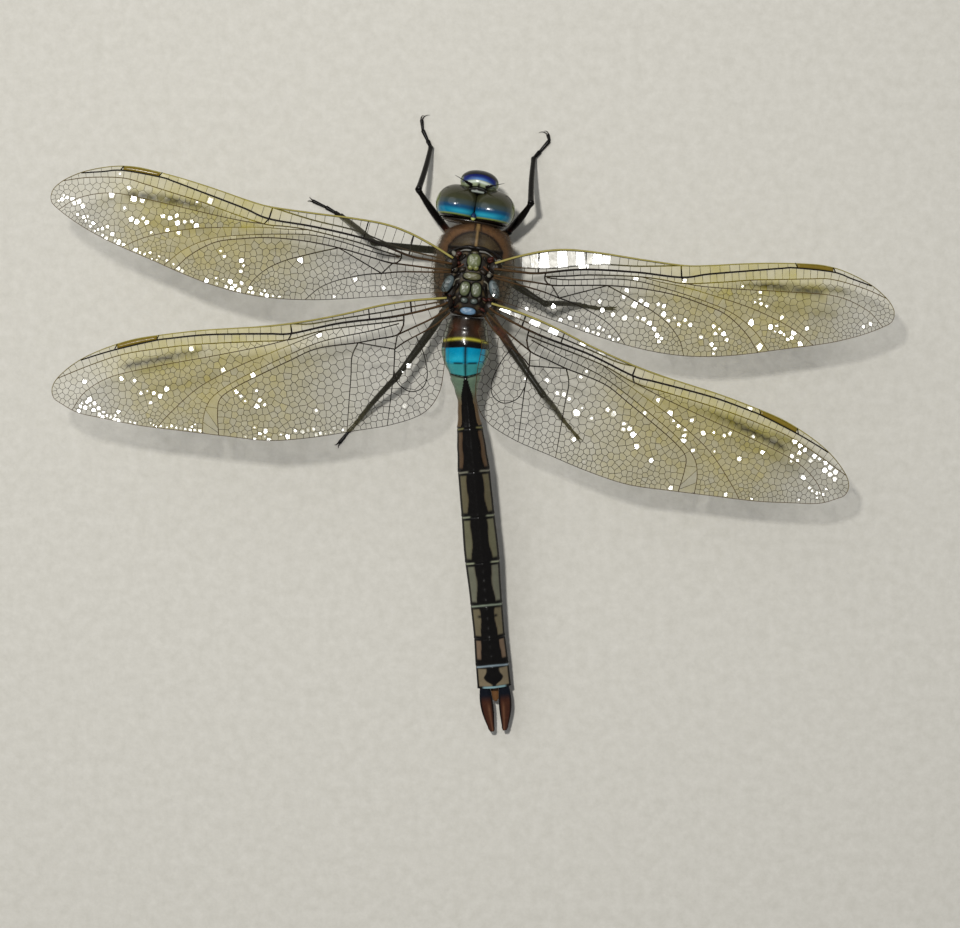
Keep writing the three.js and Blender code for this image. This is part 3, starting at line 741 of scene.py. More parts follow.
def wing_stigma(name, template, kind):
    """The dark spot near the tip, a thin pad between the leading vein and the radius."""
    low, high = STIGMA[kind]
    us = np.linspace(low, high, 26)
    lead = np.interp(us, *template["curves"]["lead"].T)
    rear = np.interp(us, *template["curves"]["radius"].T)
    ends = np.clip(np.minimum(us - low, high - us) / 0.25, 0, 1) ** 0.5
    rows = []
    for share, thick in ((0.1, 0), (0.25, .1), (0.5, .14), (0.75, .1), (0.95, 0), (0.75, -.08),
                         (0.5, -.1), (0.25, -.08)):
        uv = np.stack([us, lead + (rear - lead) * share], axis=1)
        rows.append(on_wing(WING_SET[name], uv, pleat(template, uv) + thick * ends))
    points = np.stack(rows, axis=1).reshape(-1, 3)
    outward(piece(f"{name}_stigma", points, ring_faces(len(us), len(rows)), CUTICLE,
                  paint=linear((120, 102, 36))))


TEMPLATES = {"fore": wing_template(FORE, FORE_FIELDS, FORE_EXTRA),
             "hind": wing_template(HIND, HIND_FIELDS, HIND_EXTRA)}
for wing in WING_SET:
    wing_film(wing, TEMPLATES[wing[:4]], wing[:4])
    wing_veins(wing, TEMPLATES[wing[:4]])
    wing_stigma(wing, TEMPLATES[wing[:4]], wing[:4])

# ---- Abdomen ----

ABDOMEN_START = arr([0.57, 5.3, 8.6]) + THORAX_ORIGIN
ABDOMEN_SIDES = 96
# Distances from the abdomen's front, and at some of them half its width and half its height.
SEGMENT_ENDS = [0, 1.5, 7.3, 13.6, 19, 24.6, 30.4, 35.8, 40, 43.5, 46.4]
GIRTH = arr([[0, 2.2, 2.1], [1.5, 2.65, 2.5], [3, 2.9, 2.75], [5.2, 2.73, 2.6], [7.4, 1.93, 2.1],
             [9, 1.45, 1.6], [10.3, 1.2, 1.4], [12, 1.35, 1.45], [14, 1.62, 1.6],
             [16.5, 1.82, 1.68], [19, 2, 1.7], [24, 2.06, 1.7], [29, 2.18, 1.68], [35.5, 2, 1.6],
             [39.4, 1.95, 1.5], [43.5, 2.07, 1.4], [46.4, 2.1, 1.1]])
# The pale patches of each segment: their tone, and where across the back they begin.
PATCHES = {4: ((84, 66, 48), 0.6), 5: ((96, 90, 68), 0.5), 6: ((102, 100, 78), 0.48),
           7: ((106, 106, 90), 0.46), 8: ((106, 98, 76), 0.44), 9: ((112, 94, 76), 0.6)}
# Pale arcs at segment ends: how far over the middle they reach, and their tone.
ARCS = {13.6: (0, (116, 112, 72)), 19: (0.25, (128, 126, 110)), 24.6: (0, (136, 140, 118)),
        30.4: (0, (150, 154, 128)), 35.8: (1, (136, 146, 128)), 43.5: (1, (140, 156, 164))}


def girth(s, column):
    i = np.clip(np.searchsorted(GIRTH[:, 0], s) - 1, 0, len(GIRTH) - 2)
    t = smooth(0, 1, (s - GIRTH[i, 0]) / (GIRTH[i + 1, 0] - GIRTH[i, 0]))
    return GIRTH[i, column] + t * (GIRTH[i + 1, column] - GIRTH[i, column])


def abdomen_line(s):
    """Centre points and the side, up and along directions at distances from the abdomen's front."""
    step = 0.02
    fine = np.arange(0, 60, step)
    angle = np.radians(7 + (-5.4 - 7) * np.clip(fine / 10, 0, 1))
    x = ABDOMEN_START[0] + np.concatenate([[0], np.cumsum(np.sin(angle) * step)[:-1]])
    y = ABDOMEN_START[1] + np.concatenate([[0], np.cumsum(np.cos(angle) * step)[:-1]])
    z = ABDOMEN_START[2] - 6 * (fine / SEGMENT_ENDS[-1]) ** 1.15
    s = arr(s)
    centre = np.stack([np.interp(s, fine, line) for line in (x, y, z)], axis=-1)
    a = np.interp(s, fine, angle)
    ahead = 0.05
    drop = np.interp(s + ahead, fine, z) - np.interp(s, fine, z)
    along = unit(np.stack([np.sin(a) * ahead, np.cos(a) * ahead, drop], axis=-1))
    side = unit(np.stack([along[..., 1], -along[..., 0], 0 * a], axis=-1))
    return centre, side, np.cross(side, along), along


def abdomen_colour(s, w, turn):
    """Markings by the distance along and across, w from -1 to +1, and the angle from the top."""
    aw = np.abs(w)
    under = smooth(1.5, 1.8, turn)
    first = 1 - smooth(2.25, 2.45, s - 0.5 * w ** 2)
    ring = s - 2.55 - 0.5 * w ** 2
    saddle = smooth(0, 0.12, s - 3.5 - 0.3 * aw) * (1 - smooth(5.5, 5.8, s))
    behind = smooth(5.4, 5.8, s) * (1 - smooth(7.05, 7.2, s + 0.35 * aw))
    third = smooth(7.15, 7.3, s + 0.35 * aw) * (1 - smooth(13.3, 13.6, s))
    wedge = 0.12 + 0.5 * smooth(7.3, 10.5, s) + 0.02 * (s - 10.5).clip(0)
    flank = third * (aw > wedge) > 0.5
    layers = [
        # First segment, dark red-brown between black edges.
        ((42, 29, 18), first * (1 - smooth(0.78, 0.88, aw)) * smooth(0.0, 0.5, s)),
        ((74, 42, 27), first * bump(aw - 0.55, 0.2) * bump(s - 1.4, 0.6) * 0.7),
        ((18, 13, 10), first * bump(s - 1.3, 0.5) * bump(w, 0.16) * 0.8),
        ((128, 130, 118), first * bump(aw - 0.93, 0.05) * smooth(0.2, 0.6, s)),
        # The yellow-green ring.
        ((168, 160, 52), bump(ring, 0.2) ** 1.5 * (1 - smooth(0.93, 1, aw))),
        # Second segment, the blue saddle.
        ((0, 136, 172), saddle),
        ((40, 164, 184), saddle * bump(s - 5.0, 0.5) * 0.6),
        ((58, 142, 144), behind),
        ((112, 136, 116), (saddle + behind) * smooth(0.84, 0.93, aw)),
        ((10, 10, 10), bump(s - 5.55, 0.11) * smooth(0.1, 0.16, aw) * (1 - smooth(0.5, 0.6, aw))),
        # Third segment, grey-green sides and a black wedge that widens backwards.
        ((98, 118, 98), flank),
        ((98, 78, 54), flank * smooth(8.3, 11, s)),
        ((12, 11, 10), bump(s + 0.5 * aw - 7.4, 0.12) * third ** 0.2 * smooth(0.04, 0.1, aw)),
        # A black line down the middle of the second.
        ((10, 9, 9), (1 - smooth(0.05, 0.09, aw)) * smooth(3.2, 3.5, s) * (1 - smooth(7, 8, s))),
    ]
    # Fourth to ninth, pale patches on the sides with black outer edges.
    for number, (tone, inner) in PATCHES.items():
        start, end = SEGMENT_ENDS[number - 1:number + 1]
        share = (s - start) / (end - start)
        edge = inner + 0.1 * smooth(0.55, 0.95, share) + 0.03 * np.sin(share * 9 + number)
        patch = (smooth(0.06, 0.1, share) * (1 - smooth(0.88, 0.95, share)) * (1 - under)
                 * smooth(edge, edge + 0.05, aw) * (1 - smooth(0.87, 0.92, aw)))
        if number == 9:
            patch = patch * (1 - smooth(0.7, 0.8, share))
        layers += [(tone, patch), ((60, 40, 26), patch * bump(aw - edge, 0.08) * 0.5)]
    layers.append(((10, 10, 9), bump((s - 37.2) * 1.3, 0.25) * bump(aw - 0.52, 0.14)))
    # Where one segment meets the next, an arc with black behind it.
    for end, (full, tone) in ARCS.items():
        line = bump(s - end + 0.02 - 0.2 * w ** 2, 0.1)
        reach = 1.0 if full == 1 else smooth(0.42, 0.6, aw + full * 0.5)
        shade = bump(s - end - 0.28 - 0.2 * w ** 2, 0.12) * smooth(0.2, 0.4, aw) * 0.9
        layers += [(tone, line * reach * (1 - smooth(0.93, 0.98, aw))), ((10, 9, 8), shade)]
    # Tenth, two pale patches either side of a black waist, and a pale rear rim, which is a painted
    # highlight.
    tenth = smooth(43.75, 43.95, s) * (1 - smooth(46.0, 46.2, s))
    waist = 0.36 + 0.2 * bump(s - 45.0, 0.45) - 0.3 * smooth(45.4, 46.1, s)
    layers += [
        ((120, 108, 86), tenth * smooth(waist, waist + 0.08, aw) * (1 - smooth(0.88, 0.93, aw))),
        ((120, 150, 154), smooth(46.1, 46.2, s) * (1 - smooth(0.6, 0.8, aw))),
        # Dark below, paler near the waist.
        ((30, 25, 20), under),
        ((96, 92, 74), under * (1 - smooth(8, 13, s)) * bump(turn - 2.2, 0.5)),
    ]
    return layered((14, 12, 10), s, layers)


def build_abdomen():
    s = np.append(np.arange(0.02, SEGMENT_ENDS[-1], 0.085), SEGMENT_ENDS[-1])
    centre, side, up, _ = abdomen_line(s)
    S, A = np.meshgrid(s, turns(ABDOMEN_SIDES), indexing="ij")
    turn = np.abs(np.where(A > np.pi, A - 2 * np.pi, A))
    across, above = squarish(np.sin(A)), squarish(np.cos(A))
    past = np.min([np.where(S > end, S - end, 9) for end in SEGMENT_ENDS[2:]], axis=0)
    before = np.min([np.where(S <= end, end - S, 9) for end in SEGMENT_ENDS[2:]], axis=0)
    swell = 1 + 0.014 * bump(before, 0.3) - 0.03 * bump(past - 0.07, 0.1) - 0.006
    swell -= 0.02 * bump(S - 5.55, 0.09) * (turn < 1.2)
    half_wide = girth(S, 1) * swell
    half_high = girth(S, 2) * swell
    beads = 1 + 0.5 * np.sin(S * 5.2) * smooth(28, 34, S)
    keel = 0.11 * bump(turn, 0.14) * smooth(2.8, 3.4, S) * beads
    side_keels = 0.07 * (bump(turn - 1.32, 0.12) + 0.6 * bump(turn - 1.75, 0.14)) * smooth(12, 15, S)
    flat_side = -0.07 * bump(turn - 0.8, 0.3) * smooth(14, 18, S)
    ear = 0.22 * bump(S - 4.3, 0.8) * bump(turn - 1.5, 0.22)
    rise = 1 + (keel + side_keels + flat_side + ear) / np.hypot(half_wide, half_high) * 1.4
    points = (centre[:, None, :]
              + (half_wide * rise * across)[..., None] * side[:, None, :]
              + (half_high * rise * above)[..., None] * up[:, None, :]).reshape(-1, 3)
    paint = abdomen_colour(S, across, turn).reshape(-1, 3)
    outward(piece("abdomen_skin", np.vstack([points, centre[0], centre[-1]]),
                  ring_faces(len(s), ABDOMEN_SIDES, "fan"), CUTICLE,
                  [f"abdomen_s{i}" for i in range(1, 11)],
                  np.vstack([paint, linear((30, 24, 20)), linear((80, 70, 60))])))


def build_appendages():
    """Two long leaves, each with a ridge, and a short plate between them."""
    start, side, up, along = (v[0] for v in abdomen_line([46.2]))

    def blade(name, node, onward, out, rise, layers, base):
        onward, out, rise = np.broadcast_arrays(onward, out, rise)
        points = start + onward[..., None] * along + out[..., None] * side + rise[..., None] * up
        outward(piece(name, points.reshape(-1, 3), ring_faces(*onward.shape), CUTICLE,
                      (node,), layered(base, out, layers).reshape(-1, 3)))

    t = np.linspace(0, 1, 46)[:, None]
    x, z = np.cos(turns(20)), np.sin(turns(20))
    width = 0.82 * (0.52 + 0.48 * np.sin(np.pi * np.minimum(1, 0.15 + t * 0.95)))
    width = width * (1 - 0.35 * smooth(0.93, 1.0, t))
    for name, sign in SIDES.items():
        out = sign * (1.22 - 0.42 * t + 0.12 * np.sin(np.pi * t)) + width * x
        ridge = 0.16 * bump(x + sign * 0.25, 0.22) * (z > 0) * np.sin(np.pi * np.minimum(1, t + 0.12))
        rise = 0.25 + 0.1 * np.sin(3 * t) + 0.3 * (1 - 0.35 * t) * z + ridge
        # The leaf's dark edges and the black at its root are its own colour; the blue in that black is a
        # painted reflection.
        layers = [((14, 10, 9), smooth(0.62, 0.85, np.abs(x))), ((12, 16, 24), 1 - smooth(0.16, 0.36, t)),
                  ((118, 82, 58), 0.6 * bump(x + sign * 0.25, 0.18) * smooth(0.3, 0.5, t))]
        blade(f"cercus_{name}_leaf", f"cercus_{name}", 0.1 + t * 5.8, out, rise, layers, (62, 34, 22))
    t = np.linspace(0, 1, 16)[:, None]
    width = 0.58 * (1 - 0.35 * t) * (1 - 0.5 * smooth(0.85, 1, t))
    blade("epiproct_plate", "epiproct", 0.1 + t * 2.1, width * np.cos(turns(14)),
          0.25 * (1 - 0.3 * t) * np.sin(turns(14)) - 0.5, [], (112, 78, 48))


build_abdomen()
build_appendages()

# ---- Thorax ----

# Cross-sections from front to rear: how far ahead, half the width, top and underside.
RINGS = arr([[6.1, 1.4, 10.9, 8.9], [5.8, 2.6, 11.3, 8.1], [5.2, 3.7, 11.7, 7], [4.2, 4.3, 12, 5.7],
             [3, 4.65, 12.15, 4.9], [1, 4.85, 12.2, 4.5], [-1, 4.8, 12.2, 4.5],
             [-3, 4.4, 12.1, 4.9], [-4.3, 3.6, 11.8, 5.6], [-5, 2.4, 11.3, 6.4],
             [-5.25, 1.3, 10.6, 7.3]])
THORAX_SIDES = 120


def section_at(ahead):
    """Half the thorax's width, its top, its middle height and its underside at a place ahead."""
    order = np.argsort(RINGS[:, 0])
    half, top, low = (np.interp(ahead, RINGS[order, 0], RINGS[order, k]) for k in (1, 2, 3))
    return half, top, (top + low) / 2, low


def thorax_surface(ahead, angle):
    """Places on the thorax's smooth surface, by how far ahead and the angle round it."""
    half, top, mid, low = section_at(ahead)
    tall = np.where(np.sin(angle) > 0, top - mid, mid - low)
    out, ahead, up = np.broadcast_arrays(half * squarish(np.cos(angle)), ahead,
                                         mid + tall * squarish(np.sin(angle)))
    return np.stack([out, ahead, up], axis=-1)


def back_height(out, ahead):
    """The height of the thorax's smooth top at a place."""
    half, top, mid, _ = section_at(ahead)
    share = np.clip(np.abs(out) / half, 0, 0.98)
    return mid + (top - mid) * (1 - share ** BODY_SQUARE) ** (1 / BODY_SQUARE)


def side_seams(ahead, up, width):
    """The two seams that slant back over the thorax's sides."""
    return sum(bump(ahead + back + (up - 8) * slant, width) for back, slant in ((-1.2, 0.28), (1.6, 0.3)))


def thorax_colour(out, ahead, up):
    ao = np.abs(out)
    front_top = (up > 9) & (ahead > 2.2)
    rounds = np.hypot(out / 3.3, (ahead - 2.3) / 2.7)
    crest = smooth(2.9, 3.4, ahead) * (up > 9)
    deck = smooth(11.2, 11.7, up) * (ahead < 2.8)
    waves = 0.5 + 0.5 * np.sin(ahead * 2.9 + 1.2 * ao) * np.sin(ao * 3.1 - ahead)
    return layered((78, 55, 36), out, [
        ((72, 58, 42), smooth(3.6, 4.5, ao) * (up > 8) * 0.6),
        # The front, a darker half round with a black rim and a pale line down its middle.
        ((92, 66, 42), bump(rounds - 1.2, 0.12) * front_top),
        ((52, 38, 26), bump(rounds - 1.5, 0.12) * front_top * 0.6),
        ((58, 47, 31), smooth(1.02, 0.94, rounds) * front_top),
        ((78, 66, 42), smooth(0.85, 0.6, rounds) * bump(ao - 1.3, 0.6) * front_top * 0.6),
        ((18, 13, 10), bump(rounds - 1.0, 0.05) * front_top),
        ((22, 16, 11), bump(ao - 0.36, 0.12) * crest),
        ((122, 98, 60), (1 - smooth(0.14, 0.24, ao)) * crest),
        # Black before the wings, and dark grooves and brown joints between them.
        ((18, 16, 14), smooth(3.2, 2.9, ahead) * (ao < 3.6) * (up > 11) * 0.9),
        ((30, 25, 19), deck * 0.94),
        ((74, 62, 40), deck * smooth(0.6, 0.9, waves) * 0.8),
        ((66, 32, 22), deck * smooth(2.4, 3.0, ao) * waves),
        # The sides' two dark seams, and a paler underside.
        ((26, 19, 12), side_seams(ahead, up, 0.16) * (up < 11.3)),
        ((118, 112, 78), smooth(8.2, 6.5, up) * 0.45),
    ])


def build_thorax():
    rings = 150
    front, rear = RINGS[0, 0], RINGS[-1, 0]
    aheads = front + (rear - front) * (0.5 - 0.5 * np.cos(np.pi * np.linspace(0, 1, rings)))
    points = thorax_surface(aheads[:, None], turns(THORAX_SIDES)).reshape(-1, 3)
    out, ahead, up = points.T
    ao = np.abs(out)
    away = points - np.stack([0 * out, ahead, 0 * out + 8.3], axis=1)
    away /= np.linalg.norm(away, axis=1)[:, None] + 1e-9
    top_side = smooth(0.2, 0.7, away[:, 2])
    flank = smooth(0.3, 0.8, np.abs(away[:, 0])) * (up < 11.3)
    relief = 0.1 * bump(ao, 0.16) * top_side * smooth(2.9, 3.5, ahead)
    relief += 0.16 * bump(ahead - 3.0, 0.28) * top_side * (ao < 3.4)
    relief -= 0.3 * bump(ahead - 2.3, 0.4) * top_side * (ao < 3.2)
    relief -= 0.35 * bump(ao - 2.35, 0.3) * top_side * (ahead < 2)
    relief -= 0.22 * bump(ahead + 1.95, 0.35) * top_side
    relief -= 0.12 * side_seams(ahead, up, 0.22) * flank + 0.05
    points = points + away * relief[:, None]
    paint = thorax_colour(out, ahead, up)
    points = np.vstack([points, points[:THORAX_SIDES].mean(axis=0), points[-THORAX_SIDES:].mean(axis=0)])
    paint = np.vstack([paint, paint[0], paint[-THORAX_SIDES]])
    outward(piece("thorax_skin", thorax_to_model(body(*points.T)), ring_faces(rings, THORAX_SIDES, "fan"),
                  THORAX_SKIN, ("thorax",), paint))
    for node, at, radii, tone in (("prothorax", (0, 5.35, 6.2), (2.3, .95, 1.5), (112, 84, 52)),
                                  ("neck", (0, 6.3, 7.6), (1.0, .7, 1.2), (98, 84, 62))):
        p, faces = ellipsoid(radii, 48, 30)
        p = p * (1 + 0.03 * np.sin(p[:, [1]] * 9))
        outward(piece(f"{node}_skin", thorax_to_model(seated(p, at)), faces, THORAX_SKIN,
                      (node,), linear(tone)))


HAIR_COUNT = 5200
HAIR_LENGTH = 0.62
HAIR_PATCH = 0.003
# Rings of a hair from its root to its tip: share of the length, and half thickness.
HAIR_RINGS = ((-0.12, 0.012), (0.4, 0.01), (0.75, 0.007), (1.0, 0.002))


def build_hair():
    """A short pale fur on the thorax's front, sides and underside."""
    dice = rng.spawn(1)[0]
    ahead = dice.uniform(-4.9, 5.9, HAIR_COUNT)
    angle = dice.uniform(0, 2 * np.pi, HAIR_COUNT)
    on_deck = (np.sin(angle) > 0.55) & (ahead < 3.2)
    ahead, angle = ahead[~on_deck], angle[~on_deck]
    root = thorax_surface(ahead, angle)
    onward = thorax_surface(ahead, angle + 0.02) - root
    out = np.stack([onward[:, 2], 0 * ahead, -onward[:, 0]], axis=1)
    out[:, 1] += 0.5 * np.linalg.norm(out, axis=1) * (smooth(3.5, 5.8, ahead) - smooth(-3.5, -5, ahead))
    out = unit(out)
    count = len(root)
    back = arr([0, -1.0, 0])
    lie = unit(out + 0.55 * back + dice.normal(0, 0.28, (count, 3)))
    side = unit(np.cross(lie, out + dice.normal(0, 0.05, (count, 3))))
    other = np.cross(side, lie)
    length = HAIR_LENGTH * dice.uniform(0.5, 1.15, count)[:, None]
    length = length * np.where(np.sin(angle) > 0.2, 0.55, 1.0)[:, None]
    corners = []
    for share, thick in HAIR_RINGS:
        middle = root + lie * length * share + back * 0.16 * length * share ** 2
        corners += [middle + (side * math.cos(a) + other * math.sin(a)) * thick for a in turns(3)]
    points = np.stack(corners, axis=1).reshape(-1, 3)
    ring = np.arange(len(corners))
    shape = ring_faces(len(HAIR_RINGS), 3)
    faces = [tuple(i + len(ring) * k for i in face) for k in range(count) for face in shape]
    tone = layered((120, 98, 66), angle, [((70, 52, 34), dice.uniform(0, 1, count))])
    coat = piece("thorax_hair", thorax_to_model(body(*points.T)), faces, HAIR, (),
                 np.repeat(tone, len(ring), axis=0))
    # Each hair's patch lies at its root's place on the thorax unrolled: round it, then along it.
    patches = coat.data.uv_layers.new(name="OFBake")
    home = np.stack([0.01 + 0.98 * angle / (2 * np.pi), 0.01 + 0.98 * (ahead + 5) / 11], axis=1)
    offsets = np.stack([(ring % 3) / 2 - 0.5, (ring // 3) / 3 - 0.5], axis=1) * HAIR_PATCH
    corner = np.empty(len(coat.data.loops), dtype=int)
    coat.data.loops.foreach_get("vertex_index", corner)
    spots = home[corner // len(ring)] + offsets[corner % len(ring)]
    patches.data.foreach_set("uv", spots.astype(np.float32).ravel())


def plate(build, at, size, tone, power=2.4, yaw=0.0):
    """A raised shield on the back, dark where its edge meets the groove."""
    p, faces = ellipsoid((1, 1, 1), 40, 24, power)
    wrinkle = 0.5 + 0.5 * np.sin(p[:, 0] * 9 + at[0] * 5) * np.sin(p[:, 1] * 7 + at[1] * 3)
    rim = (16, 13, 10)
    colour = layered(tone, wrinkle, [([t * 0.7 for t in tone], wrinkle * 0.4),
                                     (rim, smooth(0.82, 0.98, np.hypot(p[:, 0], p[:, 1]))),
                                     (rim, p[:, 2] < -0.1)])
    p[:, 2] *= 0.8 + 0.05 * wrinkle
    build.add(thorax_to_model(seated(turn_z(p * arr(size), yaw), at)), faces, colour)


# Plates of the back: the sides they are on, place as out, ahead and up, half sizes, tone,
# squareness and yaw. The yaw, like the place, is mirrored on the other side.
ONE, TWINS = (1,), (1, -1)
BACK_PLATES = {
    "mesonotum": [
        (ONE, (0, 1.4, 12.2), (.92, 1.0, .85), (92, 98, 60), 3.6, 0),
        (ONE, (0, 2.35, 12.15), (.5, .3, .6), (70, 64, 42), 3, 0),
        (TWINS, (.34, .62, 12.25), (.4, .42, .72), (112, 114, 58), 3, 0),
        (ONE, (0, -.5, 12.1), (1.2, .52, .8), (84, 82, 50), 4, 0),
        (TWINS, (1.25, .2, 12.05), (.5, .3, .6), (44, 36, 26), 2.4, 30)],
    "metanotum": [
        (ONE, (.7, -2.1, 12.0), (.68, .98, .82), (84, 90, 60), 4, -6),
        (ONE, (-.7, -2.1, 12.0), (.68, .98, .8), (76, 82, 54), 4, 6),
        (TWINS, (.6, -3.5, 11.95), (.48, .36, .6), (72, 80, 74), 3, 0),
        (TWINS, (1.2, -3.1, 11.9), (.3, .45, .6), (40, 32, 24), 2.4, 0),
        (ONE, (0, -4.75, 11.35), (1.05, .5, .6), (92, 124, 150), 3.6, 0)],
    "wing_base": [
        (TWINS, (2.85, -1.75, 11.95), (.62, 1.25, .5), (80, 92, 94), 2.4, -22),
        (TWINS, (2.3, .3, 12.1), (.4, .6, .5), (58, 50, 36), 3, 35)],
}
# One side's raised cords between the plates and the wing roots: thickness, colour, and course as
# out and ahead. The dark and brown cords are their own colour; the pale grey and beige ones are
# painted highlights, standing for the glints along the ridges.
RIDGES = [
    (0.24, (28, 25, 23), [[0, 3.05], [1.4, 3.0], [2.6, 2.5], [3.6, 1.6]]),
    (0.13, (112, 110, 104), [[.5, 2.66], [1.4, 2.6], [2.3, 2.1], [3.0, 1.3]]),
    (0.17, (24, 20, 17), [[1.1, 2.1], [1.7, 1.3], [2.8, .8]]),
    (0.14, (86, 54, 36), [[1.2, .9], [2.0, .4], [3.1, .1]]),
    (0.17, (22, 18, 15), [[1.5, -.2], [2.1, -.7], [3.2, -1.0]]),
    (0.11, (112, 108, 94), [[1.5, -.9], [2.0, -1.2], [2.2, -1.9]]),
    (0.17, (24, 20, 17), [[1.6, -1.5], [1.9, -2.6], [2.4, -3.6]]),
    (0.14, (96, 86, 64), [[1.7, -3.2], [2.4, -3.8], [3.2, -4.1]]),
    (0.16, (26, 22, 20), [[.9, -3.3], [1.4, -3.8], [1.9, -4.3]]),
    (0.13, (66, 38, 26), [[1.2, -4.2], [1.5, -4.4], [1.8, -4.5]]),
]
# Tones and number of the small hard pieces round each wing root; the pale grey tone is a painted highlight.
SCLERITES = [(60, 26, 18), (18, 14, 11), (118, 116, 104), (58, 40, 27)]
SCLERITE_COUNT = 14


def build_plates():
    for part, rows in BACK_PLATES.items():
        plates = Build()
        for sides, (out, ahead, up), size, tone, power, yaw in rows:
            for sign in sides:
                plate(plates, (sign * out, ahead, up), size, tone, power, sign * yaw)
        node = () if part == "wing_base" else (part,)
        outward(plates.piece(f"{part}_plates", SHIELD, "back_plate_green", node))


def build_wing_joints():
    """Knuckles that carry the wings, small hard pieces round them, and raised cords between; their pale
    tones are painted highlights.
    """
    joints = Build()
    dice = rng.spawn(1)[0]
    for sign in TWINS:
        for hinge_ahead, root_up in (FORE_HINGE, HIND_HINGE):
            plate(joints, (sign * 2.75, hinge_ahead, root_up - 0.5), (.85, .8, .6), (30, 24, 18))
            for _ in range(SCLERITE_COUNT):
                out = sign * dice.uniform(1.8, 3.3)
                ahead = hinge_ahead + dice.uniform(-1.1, 1.2)
                tone = SCLERITES[dice.integers(len(SCLERITES))]
                up = min(12.35, float(back_height(out, ahead)) + 0.45) + dice.uniform(-.1, .15)
                size = (dice.uniform(.2, .46), dice.uniform(.18, .36), dice.uniform(.3, .5))
                plate(joints, (out, ahead, up), size, tone, yaw=dice.uniform(-50, 50))
        for half, tone, course in RIDGES:
            line = catmull(arr(course) * [sign, 1], 0.15)
            line = body(line[:, 0], line[:, 1], back_height(line[:, 0], line[:, 1]) + half * 0.25)
            share = np.linspace(0, 1, len(line))
            points, faces = tube(thorax_to_model(line), half * (0.75 + 0.25 * np.sin(np.pi * share * 3)), 10)
            joints.add(points, faces, linear(tone))
    outward(joints.piece("wing_joint_sclerites", LEG_BLACK, "black_shell"))


build_thorax()
build_hair()
build_plates()
build_wing_joints()

# ---- Head ----

EYE = {"out": 2.35, "ahead": -0.15, "up": 0.1, "wide": 2.6, "long": 2.45, "high": 3.45}
EYE_FULLNESS = 3.2
EYE_CROWN = 0.16
EYE_REAR = -1.9


def eye_colour(out, ahead, up):
    ao = np.abs(out)
    rear = ahead - EYE_REAR
    seam = 1 - smooth(0.06, 0.12, ao)
    return layered((56, 57, 37), out, [
        # Olive before, then blue, cyan and green bands to the black rear edge.
        ((42, 39, 25), smooth(0.5, 2.2, ahead)),
        ((52, 68, 72), smooth(2.4, 1.8, rear) * 0.8),
        ((16, 66, 100), smooth(1.75, 1.3, rear)),
        ((14, 116, 150), smooth(1.25, 0.85, rear)),
        ((40, 150, 172), bump(rear - 0.68, 0.2) * smooth(3.6, 2.0, ao)),
        ((124, 138, 68), smooth(0.46, 0.34, rear)),
        ((14, 12, 10), smooth(0.28, 0.2, rear)),
        # Outer and lower sides turn green-yellow.
        ((122, 132, 72), smooth(4.3, 4.9, ao) * smooth(0.4, 0.5, rear)),
        ((104, 110, 56), smooth(0.4, -1.8, up)),
        ((26, 30, 24), seam * smooth(1.9, 1.3, rear)),
    ])


def build_eye(name, sign):
    lat, lon = np.meshgrid(np.linspace(-np.pi / 2, np.pi / 2, 74)[1:-1], turns(110), indexing="ij")
    across = np.cos(lat) * np.cos(lon)
    inwards = np.clip(-sign * across, 0, 0.999)
    full = (1 - inwards ** EYE_FULLNESS) ** (1 / EYE_FULLNESS) / np.sqrt(1 - inwards ** 2)
    out = sign * EYE["out"] + EYE["wide"] * across
    out = np.where(out * sign < 0.015, sign * 0.015, out)
    ahead = EYE["ahead"] - EYE["long"] * np.cos(lat) * np.sin(lon) * full
    up = EYE["up"] + EYE["high"] * np.sin(lat) * full
    up = up + EYE_CROWN * (0.4 - ahead) * smooth(0, 2.5, up)
    ahead = np.maximum(ahead, EYE_REAR)
    paint = eye_colour(out, ahead, up).reshape(-1, 3)
    points = head_to_model(body(out, ahead, up).reshape(-1, 3))
    outward(piece(f"eye_{name}_dome", points, ring_faces(*out.shape), EYE_SKIN, (f"eye_{name}",),
                  paint))


def build_frons():
    p, faces = ellipsoid((2.4, 1.55, 2.2), 80, 56, 2.15)
    out, ahead, up = p[:, 0], 2.95 - p[:, 1], p[:, 2] - 0.5
    ao = np.abs(out)
    rounded = ahead + 0.12 * out ** 2
    blue = smooth(3.0, 3.25, rounded) * smooth(-1.4, -1.1, up) * smooth(2.3, 1.9, ao)
    paint = layered((138, 148, 116), out, [
        ((140, 148, 92), smooth(1.0, -1.2, up)),
        ((18, 26, 92), blue),
        # Painted shading: the blue is lighter in the dome's middle and darker towards its border, a metallic
        # shine painted into the colour.
        ((74, 118, 176), blue * bump(rounded - 3.2, 0.24) * bump(out, 1.3)),
        ((6, 6, 9), smooth(3.7, 3.95, rounded) * smooth(-0.7, -0.35, up)),
        ((60, 52, 26), bump(up + 1.25, 0.1) * smooth(2.6, 3.0, ahead)),
        ((196, 206, 192), bump(rounded - 2.88, 0.16) * (ao < 1.7) * (up > 0)),
        ((14, 14, 12), bump(out, 0.2) * smooth(3.0, 2.5, ahead) * (up > 0)),
        ((14, 13, 12), smooth(2.45, 2.25, ahead + 0.1 * out ** 2) * (up > 0.2)),
    ])
    points = head_to_model(body(out, ahead, up))
    outward(piece("frons_dome", points, faces, FACE, ("frons",), paint))


def lump(build, at, radii, columns, rows, power, tone, over=None, share=None):
    """A rounded part of the head; share gives where its second tone lies, from its own points."""
    p, faces = ellipsoid(radii, columns, rows, power)
    layers = [(over, share(*p.T))] if over else []
    build.add(head_to_model(seated(p, at)), faces, layered(tone, p[:, 0], layers))


